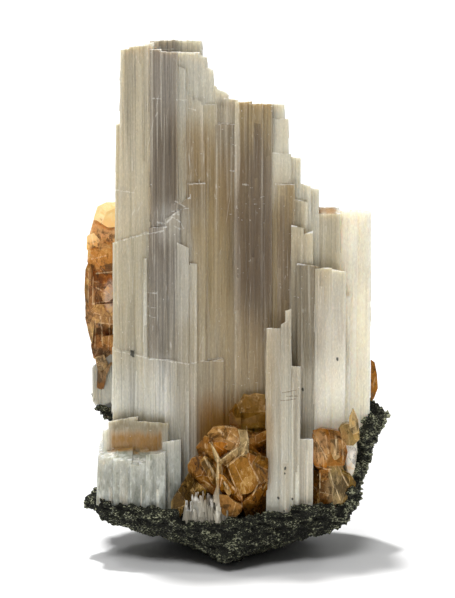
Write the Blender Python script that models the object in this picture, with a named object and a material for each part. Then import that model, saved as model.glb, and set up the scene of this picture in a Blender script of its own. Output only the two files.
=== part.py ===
"""An ulexite slab: a stepped bundle of silky fibrous crystals with amber crystals, on a crust of dark rock.

Metres, +Z up, +X to the viewer's right, -Y towards the viewer. The origin is on the resting plane,
under the middle of the whole specimen. All sizes below are in millimetres.
"""
import math
import random
from collections import namedtuple

import bmesh
import bpy
from mathutils import Euler, Matrix, Vector, noise

MM = 0.001

# Driving dimensions
GAP = 0.35             # clearance between two minerals that touch
GROOVE_DEPTH = 0.25    # how deep the striations cut into a column's front
GROOVE_PITCH = 1.25    # width of one striation ridge
CORNER = 0.55          # corner cut of a column
ROCK_SIDES = 84        # sides of the rock crust
ROCK_LUMP = 0.95       # height of the rock's lumps
ROCK_LUMP_SIZE = 4.2   # spacing of the rock's lumps
ROCK_SEED = 23          # which lumps the rock has
MIDDLE = (1.67, -0.4)  # middle of the specimen in the tables below, which the origin is put under

# left, right, front, back: the sides of a column. top: the height of its front edge. rise: how much
# higher its right side is than its left. fall: how steeply its top drops towards the back.
# lean: how far its left foot stands out. foot: where it starts.
Column = namedtuple("Column", "left right front back top rise fall lean foot", defaults=(0.0, 0.2, 0.0, 5.0))

SLAB_COLUMNS = (
    # the crest at the left
    Column(-18.7, -12.9, -6.4, 5.0, 92.2, 1.3, 0.25, 1.5),
    Column(-19.6, -17.4, -5.5, 3.5, 78.5, 0.3, 0.25, 1.0),
    Column(-13.6, -9.2, -1.6, 6.4, 92.9, 0.2, 0.12),
    Column(-9.7, -4.6, -1.9, 6.0, 92.9, -0.2, 0.12),
    Column(-13.4, -11.6, -7.3, 0.0, 91.7),
    Column(-11.9, -8.8, -6.9, 0.5, 91.2, -0.2),
    Column(-9.1, -7.4, -5.9, 0.0, 88.9, -0.6),
    Column(-8.9, -4.9, -4.6, 4.0, 91.0, -0.2),
    Column(-5.3, -3.6, -4.2, 4.2, 90.3, -0.4),
    Column(-4.0, -2.5, -3.9, 4.2, 88.2, -0.8),
    Column(-3.4, -1.9, -4.2, 3.0, 85.3, -0.8),
    # the terrace in front of the crest
    Column(-9.3, -7.0, -6.2, -1.0, 83.9, 0.5),
    Column(-7.3, -6.1, -6.4, -1.0, 85.6, -0.3),
    Column(-6.3, -4.6, -6.3, -1.0, 82.7, -0.5),
    Column(-4.9, -1.8, -6.0, -1.0, 81.8, 0.3),
    Column(-2.3, 0.2, -2.5, 4.2, 84.2, -1.2),
    Column(-0.6, 1.9, -4.9, 4.4, 82.8, -0.5),
    Column(-2.1, 1.6, -6.6, -1.0, 78.3, 0.2),
    # the middle bank
    Column(1.4, 4.3, -7.7, 4.0, 82.4, 0.2),
    Column(3.8, 6.2, -8.4, 3.4, 82.2),
    Column(5.9, 7.8, -8.0, 3.0, 82.1, -0.2),
    Column(7.1, 10.0, -5.5, 4.0, 82.0),
    Column(7.5, 10.7, -6.1, 3.2, 79.4, -0.1),
    # the stairs down to the right
    Column(7.7, 11.2, -6.7, 3.0, 73.3, -0.3),
    Column(10.6, 12.9, -5.4, 3.2, 72.5, -0.3),
    Column(8.9, 11.8, -7.5, 0.0, 67.8, 0.1),
    Column(11.5, 14.2, -7.0, 0.0, 64.9, -0.8),
    Column(12.6, 14.7, -5.2, 3.6, 67.6, -0.4),
    Column(14.3, 16.2, -4.8, 3.4, 66.9, -0.4),
    # the right bank, the first of its columns broken off flat
    Column(15.8, 20.0, -5.0, 2.0, 62.3, 0.0, -0.03),
    Column(19.6, 23.1, -3.5, 5.0, 62.6, 0.1, 0.12),
    Column(22.6, 25.6, -3.0, 5.5, 62.4, -0.3, 0.12),
    Column(11.3, 13.4, -8.3, 0.0, 60.4, -0.6),
    Column(13.1, 15.1, -8.0, 0.0, 59.2, 0.8),
    Column(12.4, 16.2, -8.8, 0.0, 53.6, -0.6),
    Column(15.5, 18.4, -9.4, -1.0, 53.1, 0.3),
    Column(18.0, 20.9, -9.0, -1.0, 52.8, -0.4),
    Column(20.6, 21.9, -5.6, 0.0, 47.5, -0.4),
    # sheets that end part-way up the front
    Column(-20.3, -16.9, -6.9, -3.0, 57.8, 0.8),
    Column(-17.3, -13.5, -7.0, -3.0, 59.0, 1.0),
    Column(-13.9, -10.7, -8.0, -3.0, 60.2, 0.4),
    Column(-11.0, -8.5, -7.5, -3.0, 62.4, 1.6),
    Column(-8.8, -6.5, -7.0, -3.0, 65.2, 1.6),
    Column(-6.8, -3.9, -6.9, -3.0, 67.9, 0.2),
    Column(-9.6, -6.5, -8.1, -3.0, 56.9, -0.3),
    Column(-6.9, -4.8, -7.9, -3.0, 53.5, -0.3),
    Column(-14.9, -13.5, -7.7, -3.0, 55.0, 0.0),
    Column(-20.5, -17.0, -7.8, 0.0, 38.3, -0.5),
    Column(-17.3, -14.0, -8.1, 0.0, 37.6, -0.7),
    Column(-14.4, -9.0, -8.6, 0.0, 36.9, 0.0),
    Column(-9.3, -3.9, -8.8, 0.0, 36.3, -0.5),
    Column(-4.3, -0.3, -8.3, 0.0, 36.8, 0.7),
    # the broad foot of the slab, with the toe block in front of it
    Column(-21.2, -16.0, -9.4, 0.0, 26.0, 0.9),
    Column(-22.3, -17.6, -9.0, 0.0, 24.2, 0.6, 0.2, 0.0, 10.0),
    Column(-16.4, -10.6, -9.7, 0.0, 25.4, -0.5),
    Column(-23.0, -19.5, -12.4, -3.0, 19.0, 0.7, 0.02, 0.3, 11.4),
    Column(-20.2, -16.9, -13.6, -3.0, 19.4, 0.2, -0.02, 0.0, 10.6),
    Column(-17.2, -14.0, -14.2, -3.0, 19.0, -0.3, 0.0, 0.0, 9.8),
    Column(-14.4, -11.0, -14.8, -3.0, 20.8, 0.5, 0.1, 0.0, 9.2),
    Column(-11.5, -8.3, -12.2, -3.0, 22.7, 0.6, 0.2, 0.0, 8.0),
    # the pale blade that stands out in front
    Column(6.9, 9.9, -14.6, -7.0, 43.4, -0.1),
    Column(9.4, 11.1, -15.2, -8.0, 44.6, 0.9, 0.3),
    Column(10.2, 11.1, -14.9, -11.5, 46.7, 0.2),
    Column(10.8, 12.8, -14.8, -7.0, 36.6, -0.2),
    Column(12.4, 15.1, -14.0, -7.0, 23.4, 0.2),
    Column(9.8, 10.9, -15.8, -12.0, 19.4, 0.0),
    # the back of the slab
    Column(-17.6, -11.0, 2.0, 8.6, 66.0, 1.0),
    Column(-11.6, -5.0, 3.0, 11.0, 58.0, -1.5),
    Column(-5.6, 1.0, 2.5, 12.0, 61.5, 0.5),
    Column(0.4, 7.0, 2.5, 11.2, 51.0, 0.8),
    Column(6.4, 12.5, 2.0, 10.4, 54.0, -1.0),
    Column(11.9, 18.0, 1.5, 9.6, 45.0, 0.5),
    Column(17.4, 23.4, 2.0, 9.0, 39.5, -0.8),
    Column(-12.5, -6.0, 8.0, 14.4, 38.5, 0.5),
    Column(-6.6, -0.4, 9.0, 15.4, 34.0, -0.8),
    Column(-0.9, 5.6, 8.0, 14.2, 37.0, 0.6),
    Column(5.0, 11.2, 8.0, 13.6, 30.0, 0.5),
    Column(10.6, 16.8, 7.0, 12.4, 31.5, -0.8),
    Column(-20.4, -12.0, 4.0, 13.6, 35.0, 1.0, 0.2, 0.0, 14.0),
    Column(-24.8, -22.6, 6.4, 13.0, 32.6, 1.5, 0.1, 0.0, 25.0),
    Column(-23.0, -19.6, 6.0, 13.4, 34.4, -1.5, 0.1, 0.0, 23.0),
)

TUFT_COLUMNS = (
    Column(-7.6, -5.6, -17.0, -12.5, 13.6, -0.5, 0.1, 0.2, 6.0),
    Column(-6.0, -4.2, -16.6, -12.0, 16.0, 0.3, 0.1, 0.0, 6.0),
    Column(-4.4, -2.7, -17.2, -12.5, 14.9, -0.3, 0.1, 0.0, 6.0),
    Column(-2.9, -2.1, -16.5, -12.5, 15.6, 0.0, 0.1, 0.0, 6.0),
    Column(-2.2, -1.1, -16.8, -12.5, 17.2, 0.2, 0.1, 0.0, 6.0),
    Column(-1.4, 0.6, -17.3, -13.0, 13.0, -0.6, 0.1, 0.0, 6.0),
)

# centre, size, turn (degrees about X, Y, Z), how many corners are cut flat, and the seed of the cuts
Lump = namedtuple("Lump", "centre size turn cuts seed")

AMBER_LUMPS = {
    "amber_cluster_front": (
        Lump((2.2, -13.4, 17.6), (7.6, 5.4, 8.6), (10, 6, 40), 7, 3),
        Lump((-3.9, -12.4, 17.6), (5.6, 5.4, 9.4), (0, -16, -12), 8, 5),
        Lump((-0.6, -12.6, 22.2), (5.6, 4.8, 5.6), (6, 10, 10), 9, 8),
        Lump((3.9, -10.4, 25.4), (5.4, 4.0, 10.4), (0, 3, 6), 5, 13),
        Lump((3.6, -13.6, 12.0), (5.4, 4.6, 5.6), (0, 12, 20), 7, 19),
        Lump((-8.6, -13.0, 12.8), (7.6, 2.4, 5.2), (6, -44, -8), 4, 23),
    ),
    "amber_crystal_right": (
        Lump((17.2, -11.8, 20.6), (4.6, 3.8, 8.4), (0, 2, 14), 8, 29),
        Lump((19.5, -11.2, 20.4), (3.0, 3.4, 8.2), (0, -6, -10), 8, 31),
        Lump((16.8, -12.0, 14.0), (4.4, 4.0, 6.6), (4, 0, 6), 6, 37),
        Lump((20.0, -10.0, 14.4), (3.8, 4.0, 6.0), (0, 14, 0), 7, 41),
        Lump((22.0, -8.0, 25.2), (1.9, 2.4, 6.2), (0, 4, 25), 5, 43),
        Lump((20.8, -8.4, 23.4), (3.2, 3.0, 3.8), (0, -16, 10), 6, 47),
    ),
    "amber_sliver_right": (
        Lump((26.1, 4.6, 29.6), (2.0, 3.4, 8.4), (0, 2, 12), 5, 53),
    ),
    "amber_mass_left": (
        Lump((-20.6, 11.2, 55.2), (7.4, 8.6, 13.0), (4, 8, 10), 9, 59),
        Lump((-20.9, 10.8, 46.8), (8.6, 9.0, 14.0), (0, -3, -14), 9, 61),
        Lump((-20.9, 10.6, 39.4), (7.2, 8.0, 11.0), (0, -4, 8), 8, 67),
        Lump((-16.6, 11.6, 48.0), (6.6, 7.2, 17.0), (0, 2, 20), 8, 71),
    ),
}

# One section of the crust, each point as (x, y, z): the edge of the flat underside, where the underside
# turns up, the belly, the outer and inner edge of the rim, and where the inner wall meets the floor.
Section = namedtuple("Section", "rest low belly rim lip floor")

CRUST_SECTIONS = (
    # the keel at the front
    Section((-0.4, -11.5, 0), (-0.5, -18.6, 2.9), (-0.5, -19.8, 5.6), (0.0, -18.8, 9.0), (0.0, -16.8, 9.6),
            (0.0, -10.0, 8.2)),
    # the left side
    Section((-2.2, -8.5, 0), (-4.6, -17.0, 4.6), (-4.8, -18.2, 6.0), (-4.2, -18.2, 8.0), (-4.0, -16.6, 8.6),
            (-2.5, -9.5, 8.2)),
    Section((-3.6, -5.0, 0), (-9.5, -14.8, 6.2), (-9.8, -16.6, 7.2), (-9.0, -17.0, 8.8), (-8.6, -15.4, 9.4),
            (-6.0, -8.4, 8.2)),
    Section((-4.8, -1.5, 0), (-15.6, -12.4, 6.4), (-16.2, -14.2, 7.6), (-16.0, -15.0, 9.4),
            (-15.2, -13.6, 10.0), (-10.0, -7.0, 8.6)),
    Section((-6.2, 1.5, 0), (-21.4, -8.8, 7.4), (-23.0, -9.6, 8.8), (-22.8, -10.4, 10.8),
            (-21.6, -9.4, 11.6), (-13.0, -4.0, 9.0)),
    Section((-7.6, 4.0, 0), (-24.0, -4.6, 8.8), (-25.6, -5.2, 9.8), (-24.6, -5.0, 11.6),
            (-22.8, -4.4, 12.2), (-14.0, -1.0, 9.5)),
    Section((-9.2, 6.2, 0), (-20.5, 1.5, 9.2), (-21.8, 1.5, 11.2), (-22.0, 1.8, 13.8), (-20.4, 1.8, 14.4),
            (-14.0, 2.0, 10.5)),
    Section((-10.4, 8.0, 0), (-16.8, 4.6, 10.0), (-18.6, 5.0, 15.2), (-20.4, 5.6, 19.0), (-18.8, 5.6, 19.8),
            (-14.0, 4.0, 12.0)),
    Section((-10.6, 9.6, 0), (-15.6, 8.0, 10.4), (-19.6, 8.6, 20.0), (-25.0, 9.4, 26.0), (-23.4, 9.8, 27.2),
            (-14.0, 6.2, 13.0)),
    # the high wall at the back
    Section((-8.5, 11.2, 0), (-13.0, 12.4, 7.6), (-17.6, 15.4, 17.0), (-20.0, 17.0, 25.0),
            (-18.4, 15.6, 25.8), (-10.0, 9.0, 11.6)),
    Section((-2.5, 11.8, 0), (-4.0, 13.6, 4.6), (-5.0, 17.4, 11.0), (-5.0, 19.0, 23.0), (-4.6, 17.0, 23.6),
            (-3.0, 10.0, 10.4)),
    Section((6.0, 11.6, 0), (8.0, 13.0, 4.6), (9.6, 16.4, 11.0), (10.0, 17.8, 21.6), (9.2, 15.8, 22.2),
            (5.0, 9.0, 10.0)),
    Section((11.8, 9.6, 0), (18.4, 8.0, 6.6), (22.8, 9.6, 14.6), (25.4, 10.6, 23.6), (23.4, 9.6, 24.2),
            (11.0, 6.0, 10.4)),
    # the right side
    Section((11.0, 7.0, 0), (21.6, 1.0, 8.4), (25.6, 1.4, 16.4), (29.2, 2.2, 24.0), (26.2, 1.8, 26.6),
            (13.0, 1.5, 10.0)),
    Section((9.4, 4.8, 0), (22.6, -3.4, 9.6), (24.4, -3.4, 14.2), (26.4, -2.2, 19.8), (23.8, -1.8, 21.0),
            (13.4, -1.6, 9.4)),
    Section((8.0, 2.6, 0), (21.6, -7.6, 7.6), (23.6, -7.8, 10.2), (23.8, -7.0, 14.2), (21.8, -6.4, 14.8),
            (12.8, -4.4, 8.9)),
    Section((6.4, 0.0, 0), (18.8, -11.2, 5.8), (21.0, -12.4, 7.6), (20.8, -12.4, 10.6), (19.6, -11.0, 11.2),
            (11.0, -6.5, 8.6)),
    Section((4.6, -3.0, 0), (13.4, -13.6, 5.4), (14.6, -15.4, 7.4), (14.6, -15.6, 10.6),
            (14.0, -14.0, 11.2), (7.5, -8.5, 8.4)),
    Section((3.0, -6.5, 0), (7.6, -15.4, 4.9), (8.0, -17.2, 6.4), (8.0, -17.2, 9.2), (7.6, -15.8, 9.8),
            (4.6, -9.2, 8.3)),
    Section((1.4, -9.5, 0), (3.0, -17.6, 3.4), (3.4, -19.0, 5.8), (3.6, -18.4, 8.8), (3.4, -16.6, 9.4),
            (2.0, -9.8, 8.2)),
)
FLOOR_CENTRE = (-0.5, 0.5, 9.0)

# The crust's rings, from the flat underside up the outside, over the rim and down to the floor: the two
# points of a section that the ring lies between, how far from the first, and how rugged it is.
CRUST_RINGS = (
    ("rest", "low", 0.0, 0.0),
    ("rest", "low", 0.35, 0.5),
    ("rest", "low", 0.7, 0.8),
    ("low", "belly", 0.0, 1.0),
    ("low", "belly", 0.5, 1.0),
    ("belly", "rim", 0.0, 1.0),
    ("belly", "rim", 0.34, 1.0),
    ("belly", "rim", 0.67, 1.0),
    ("rim", "lip", 0.0, 1.0),
    ("rim", "lip", 0.5, 1.0),
    ("lip", "floor", 0.0, 0.8),
    ("lip", "floor", 0.35, 0.6),
    ("lip", "floor", 0.7, 0.6),
    ("floor", "floor", 0.0, 0.6),
)
RIM_RING = 8           # the first ring of the crust's upper surface
BED_BOTTOM = -10.0     # a height below everything

COLOURS = {
    "ulexite": ((0.66, 0.62, 0.54, 1.0), 0.35, 0.30),
    "amber": ((0.72, 0.34, 0.08, 1.0), 0.22, 0.45),
    "rock": ((0.075, 0.082, 0.062, 1.0), 0.85, 0.0),
}


def clear_scene():
    for obj in list(bpy.data.objects):
        bpy.data.objects.remove(obj)


def mineral(name):
    """A material of one colour, roughness and share of light let through."""
    colour, roughness, clear = COLOURS[name]
    material = bpy.data.materials.new(name)
    material.use_nodes = True
    shader = material.node_tree.nodes["Principled BSDF"]
    shader.inputs["Base Color"].default_value = colour
    shader.inputs["Roughness"].default_value = roughness
    shader.inputs["Transmission Weight"].default_value = clear
    material.diffuse_color = colour
    return material


def object_of(name, bm):
    """A new object that holds this bmesh, in metres from the origin."""
    bmesh.ops.recalc_face_normals(bm, faces=bm.faces)
    bmesh.ops.translate(bm, vec=(-MIDDLE[0], -MIDDLE[1], 0.0), verts=bm.verts)
    bmesh.ops.scale(bm, vec=(MM, MM, MM), verts=bm.verts)
    mesh = bpy.data.meshes.new(name)
    bm.to_mesh(mesh)
    bm.free()
    obj = bpy.data.objects.new(name, mesh)
    bpy.context.scene.collection.objects.link(obj)
    return obj


def baked(obj):
    """Turns the object's modifiers into its own mesh."""
    graph = bpy.context.evaluated_depsgraph_get()
    mesh = bpy.data.meshes.new_from_object(obj.evaluated_get(graph))
    obj.modifiers.clear()
    obj.data = mesh


def combine(obj, others, operation):
    """Joins the other objects to this one, or cuts them out of it, and removes them."""
    group = bpy.data.collections.new("operands")
    bpy.context.scene.collection.children.link(group)
    for other in others:
        bpy.context.scene.collection.objects.unlink(other)
        group.objects.link(other)
        other.hide_render = True
        other.display_type = "WIRE"
    modifier = obj.modifiers.new(operation.lower(), "BOOLEAN")
    modifier.operation = operation
    modifier.operand_type = "COLLECTION"
    modifier.collection = group
    modifier.solver = "EXACT"
    baked(obj)
    for other in others:
        bpy.data.objects.remove(other)
    bpy.data.collections.remove(group)


def keep_main_body(obj):
    """Removes crumbs that a cut has split off from the object."""
    bm = bmesh.new()
    bm.from_mesh(obj.data)
    unseen = set(bm.verts)
    bodies = []
    while unseen:
        body, edge = set(), [unseen.pop()]
        while edge:
            vert = edge.pop()
            body.add(vert)
            near = {e.other_vert(vert) for e in vert.link_edges} & unseen
            unseen -= near
            edge.extend(near)
        bodies.append(body)
    main = max(bodies, key=len)
    bmesh.ops.delete(bm, geom=[v for v in bm.verts if v not in main], context="VERTS")
    bm.to_mesh(obj.data)
    bm.free()


def grooved_side(start, end, inwards, dice):
    """Points from start to end along one side of a column, with striations that step in and out."""
    length = (end - start).length
    ridges = max(1, round(length / GROOVE_PITCH))
    points = [start]
    for i in range(1, ridges):
        along = start.lerp(end, (i + dice.uniform(-0.25, 0.25)) / ridges)
        points.append(along + inwards * dice.uniform(0.3, 1.0) * GROOVE_DEPTH)
    points.append(end)
    return points


def column_outline(column, grow, dice):
    """The column's cross-section: a box with cut corners, its front and back grooved."""
    left, right = column.left - grow, column.right + grow
    front, back = column.front - grow, column.back + grow
    cut = min(CORNER, 0.3 * (right - left), 0.3 * (back - front))
    skew = dice.uniform(-0.35, 0.35)
    corners = (
        Vector((left, front + cut * dice.uniform(0.8, 1.5) + skew)),
        Vector((left + cut, front + skew)),
        Vector((right - cut, front - skew)),
        Vector((right, front + cut * dice.uniform(0.8, 1.5) - skew)),
        Vector((right, back - cut)),
        Vector((right - cut, back)),
        Vector((left + cut, back)),
        Vector((left, back - cut)),
    )
    outline = [corners[0]]
    outline += grooved_side(corners[1], corners[2], Vector((0, 1)), dice)
    outline += [corners[3], corners[4]]
    outline += grooved_side(corners[5], corners[6], Vector((0, -1)), dice)
    outline.append(corners[7])
    return outline


def column_body(column, seed, grow=0.0):
    """One crystal column, as a closed solid from its foot to its uneven top."""
    dice = random.Random(seed)
    outline = column_outline(column, grow, dice)
    middle = (column.left + column.right) / 2
    width = column.right - column.left
    bm = bmesh.new()
    bottom, top = [], []
    for point in outline:
        share = (point.x - middle) / width
        spread = column.lean * max(0.0, -share) * 2.0
        height = column.top + column.rise * share - column.fall * (point.y - column.front)
        bottom.append(bm.verts.new((point.x - spread, point.y, column.foot)))
        top.append(bm.verts.new((point.x, point.y, height + grow)))
    bm.faces.new(reversed(bottom))
    bm.faces.new(top)
    for i in range(len(outline)):
        j = (i + 1) % len(outline)
        bm.faces.new((bottom[i], bottom[j], top[j], top[i]))
    return object_of("column", bm)


def fused_columns(name, columns, first_seed):
    """All the columns grown together into one solid."""
    bodies = [column_body(column, first_seed + i) for i, column in enumerate(columns)]
    main = bodies[0]
    combine(main, bodies[1:], "UNION")
    main.name = main.data.name = name
    return main


def lump_body(lump, grow=0.0):
    """One amber crystal: a turned block whose corners are cut off by flat planes."""
    dice = random.Random(lump.seed)
    size = Vector(lump.size)
    bm = bmesh.new()
    bmesh.ops.create_cube(bm, size=1.0)
    bmesh.ops.scale(bm, vec=size + Vector((2 * grow,) * 3), verts=bm.verts)
    for _ in range(lump.cuts):
        normal = Vector([dice.choice((-1, 1)) * dice.uniform(0.35, 1.0) for _ in range(3)]).normalized()
        reach = sum(abs(n) * s / 2 for n, s in zip(normal, size))
        distance = reach * dice.uniform(0.66, 0.84) + grow
        cut = bmesh.ops.bisect_plane(
            bm, geom=bm.verts[:] + bm.edges[:] + bm.faces[:], dist=1e-6,
            plane_co=normal * distance, plane_no=normal, clear_outer=True,
        )
        rim = [g for g in cut["geom_cut"] if isinstance(g, bmesh.types.BMEdge)]
        if rim:
            bmesh.ops.edgenet_fill(bm, edges=rim)
    turn = Euler([math.radians(a) for a in lump.turn]).to_matrix().to_4x4()
    bmesh.ops.transform(bm, matrix=Matrix.Translation(lump.centre) @ turn, verts=bm.verts)
    return object_of("lump", bm)


def amber_crystals(name, lumps):
    """Amber crystals grown together into one solid."""
    bodies = [lump_body(lump) for lump in lumps]
    main = bodies[0]
    if len(bodies) > 1:
        combine(main, bodies[1:], "UNION")
    main.name = main.data.name = name
    return main


def smooth_between(values, position):
    """A point on the closed smooth curve through these points, at this position in steps between them."""
    count = len(values)
    i = math.floor(position)
    t = position - i
    a, b, c, d = (Vector(values[(i + k) % count]) for k in (-1, 0, 1, 2))
    return 0.5 * (2 * b + (c - a) * t + (2 * a - 5 * b + 4 * c - d) * t**2 + (3 * b - a - 3 * c + d) * t**3)


def lumpy(point, share):
    """A point of the crust moved a little, so that the rock is rugged."""
    field = noise.noise_vector(point / ROCK_LUMP_SIZE) + 0.4 * noise.noise_vector(point / (ROCK_LUMP_SIZE / 2.6))
    return point + field * ROCK_LUMP * share


def crust_ring(first, second, share, rugged):
    """One closed ring of points round the crust, between two of the sections' points."""
    ring = []
    for i in range(ROCK_SIDES):
        position = i * len(CRUST_SECTIONS) / ROCK_SIDES
        start = smooth_between([getattr(section, first) for section in CRUST_SECTIONS], position)
        end = smooth_between([getattr(section, second) for section in CRUST_SECTIONS], position)
        ring.append(lumpy(start.lerp(end, share), rugged))
    return ring


def close_crust(bm, rings):
    """Skins closed rings from the first, which is capped flat, to the last, which meets in a hub."""
    bm.faces.new(reversed(rings[0]))
    for lower, upper in zip(rings, rings[1:]):
        for i in range(ROCK_SIDES):
            j = (i + 1) % ROCK_SIDES
            bm.faces.new((lower[i], lower[j], upper[j], upper[i]))
    hub = bm.verts.new(lumpy(Vector(FLOOR_CENTRE), 0.4))
    for i in range(ROCK_SIDES):
        bm.faces.new((rings[-1][i], rings[-1][(i + 1) % ROCK_SIDES], hub))
    bmesh.ops.recalc_face_normals(bm, faces=bm.faces)


def crust_body(name, grow=0.0):
    """The bowl-shaped crust of dark rock that the crystals stand in."""
    bm = bmesh.new()
    close_crust(bm, [[bm.verts.new(point) for point in crust_ring(*ring)] for ring in CRUST_RINGS])
    if grow:
        bm.normal_update()
        for vert, normal in [(v, v.normal.copy()) for v in bm.verts]:
            vert.co += normal * grow
    bmesh.ops.triangulate(bm, faces=bm.faces)
    return object_of(name, bm)


def crust_bed(grow):
    """Everything below the crust's upper surface and inside its rim. The minerals end above it."""
    bm = bmesh.new()
    rings = [crust_ring(*ring) for ring in CRUST_RINGS[RIM_RING:]]
    rings.insert(0, [Vector((point.x, point.y, BED_BOTTOM)) for point in rings[0]])
    close_crust(bm, [[bm.verts.new(point + Vector((0.0, 0.0, grow))) for point in ring] for ring in rings])
    bmesh.ops.triangulate(bm, faces=bm.faces)
    return object_of("bed", bm)


def finish_node(obj, material):
    keep_main_body(obj)
    obj.data.materials.clear()
    obj.data.materials.append(material)
    obj.parent = bpy.data.objects["specimen"]


def main():
    clear_scene()
    noise.seed_set(ROCK_SEED)
    specimen = bpy.data.objects.new("specimen", None)
    bpy.context.scene.collection.objects.link(specimen)
    ulexite, amber, rock = (mineral(name) for name in ("ulexite", "amber", "rock"))

    crust = crust_body("matrix_rock")
    slab = fused_columns("ulexite_slab", SLAB_COLUMNS, 100)
    tuft = fused_columns("fibre_tuft", TUFT_COLUMNS, 300)
    ambers = {name: amber_crystals(name, lumps) for name, lumps in AMBER_LUMPS.items()}

    sockets = [lump_body(lump, GAP) for lumps in AMBER_LUMPS.values() for lump in lumps]
    combine(slab, sockets, "DIFFERENCE")
    combine(slab, [column_body(c, 300 + i, GAP) for i, c in enumerate(TUFT_COLUMNS)], "DIFFERENCE")
    for obj in (slab, tuft, *ambers.values()):
        combine(obj, [crust_body("socket", GAP), crust_bed(GAP)], "DIFFERENCE")
    front = ambers["amber_cluster_front"]
    combine(front, [column_body(c, 300 + i, GAP) for i, c in enumerate(TUFT_COLUMNS)], "DIFFERENCE")

    finish_node(crust, rock)
    for obj in (slab, tuft):
        finish_node(obj, ulexite)
    for obj in ambers.values():
        finish_node(obj, amber)


main()
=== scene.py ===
"""Ulexite slab: the finished look of the specimen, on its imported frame.

Tables are in millimetres and meshes in metres. MIDDLE is where the meshes' middle is in the tables.
"""
import math
import random
from collections import namedtuple
from functools import cached_property, partialmethod

import bmesh
import bpy
from mathutils import Matrix, Vector, noise
from mathutils.bvhtree import BVHTree


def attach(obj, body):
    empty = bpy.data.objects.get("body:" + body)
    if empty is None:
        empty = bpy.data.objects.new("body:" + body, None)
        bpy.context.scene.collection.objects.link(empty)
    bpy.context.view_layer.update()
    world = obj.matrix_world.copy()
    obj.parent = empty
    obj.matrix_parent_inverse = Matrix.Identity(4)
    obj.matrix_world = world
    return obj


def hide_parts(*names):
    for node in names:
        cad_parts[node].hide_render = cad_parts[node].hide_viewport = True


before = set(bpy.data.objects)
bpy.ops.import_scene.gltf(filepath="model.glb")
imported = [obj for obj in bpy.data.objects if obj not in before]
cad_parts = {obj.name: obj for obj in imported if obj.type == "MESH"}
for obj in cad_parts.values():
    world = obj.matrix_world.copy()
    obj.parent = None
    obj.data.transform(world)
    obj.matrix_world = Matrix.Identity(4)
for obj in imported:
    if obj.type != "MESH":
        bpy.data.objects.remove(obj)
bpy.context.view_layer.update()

bl_info = {
    "name": "Ulexite slab",
    "version": (1, 0, 0),
    "blender": (4, 5, 0),
    "location": "3D View > Sidebar > Specimen",
    "description": "A stepped slab of silky crystals with amber crystals on a crust of dark rock",
    "category": "Object",
}

MM = 0.001
MIDDLE = (1.67, -0.4)      # to the right and backwards
BODY = "root"
SEED = 11                  # for what Geometry Nodes and the rock draw
SLAB_SEED = 100            # for the first column, and one more for each that follows
TUFT_SEED = 300
AMBER_SEED = 500           # for the first crystal of the first group
AMBER_STEP = 50            # how much further on the next group starts
WELD = 1e-6                # two corners of a solid nearer than this are one, in metres
ROCK_TOP = 8.0             # about how high the rock reaches round the crystals
GRAINS_ABOVE = 0.7         # the flat that the rock rests on has no loose grains
SLIVERS_ABOVE = 30.0
FIBRES_BELOW = 13.2        # the tallest needle of the tuft has no fibres on its tip
FLOOR = 6.0                # half the floor's width, in metres
AIM_HEIGHT = 46.0          # the height that the camera looks at
FRAME_HEIGHT = 36.0        # the height of the camera's own frame

# ------------------------------------------------------------------ the crystals' table

# left, right, front, back: the sides of a crystal column. top: the height of its front edge. rise: how
# much higher its right side is. shade: which of SHADES it has. behind: the shade that shows through its
# thin top, when it isn't its own. fall: how steeply its top drops backwards. lean: how far its left foot
# stands out. foot: where it starts, where there is no rock under it.
Column = namedtuple("Column", "left right front back top rise shade behind fall lean foot",
                    defaults=("", 0.2, 0.0, 5.0))

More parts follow.
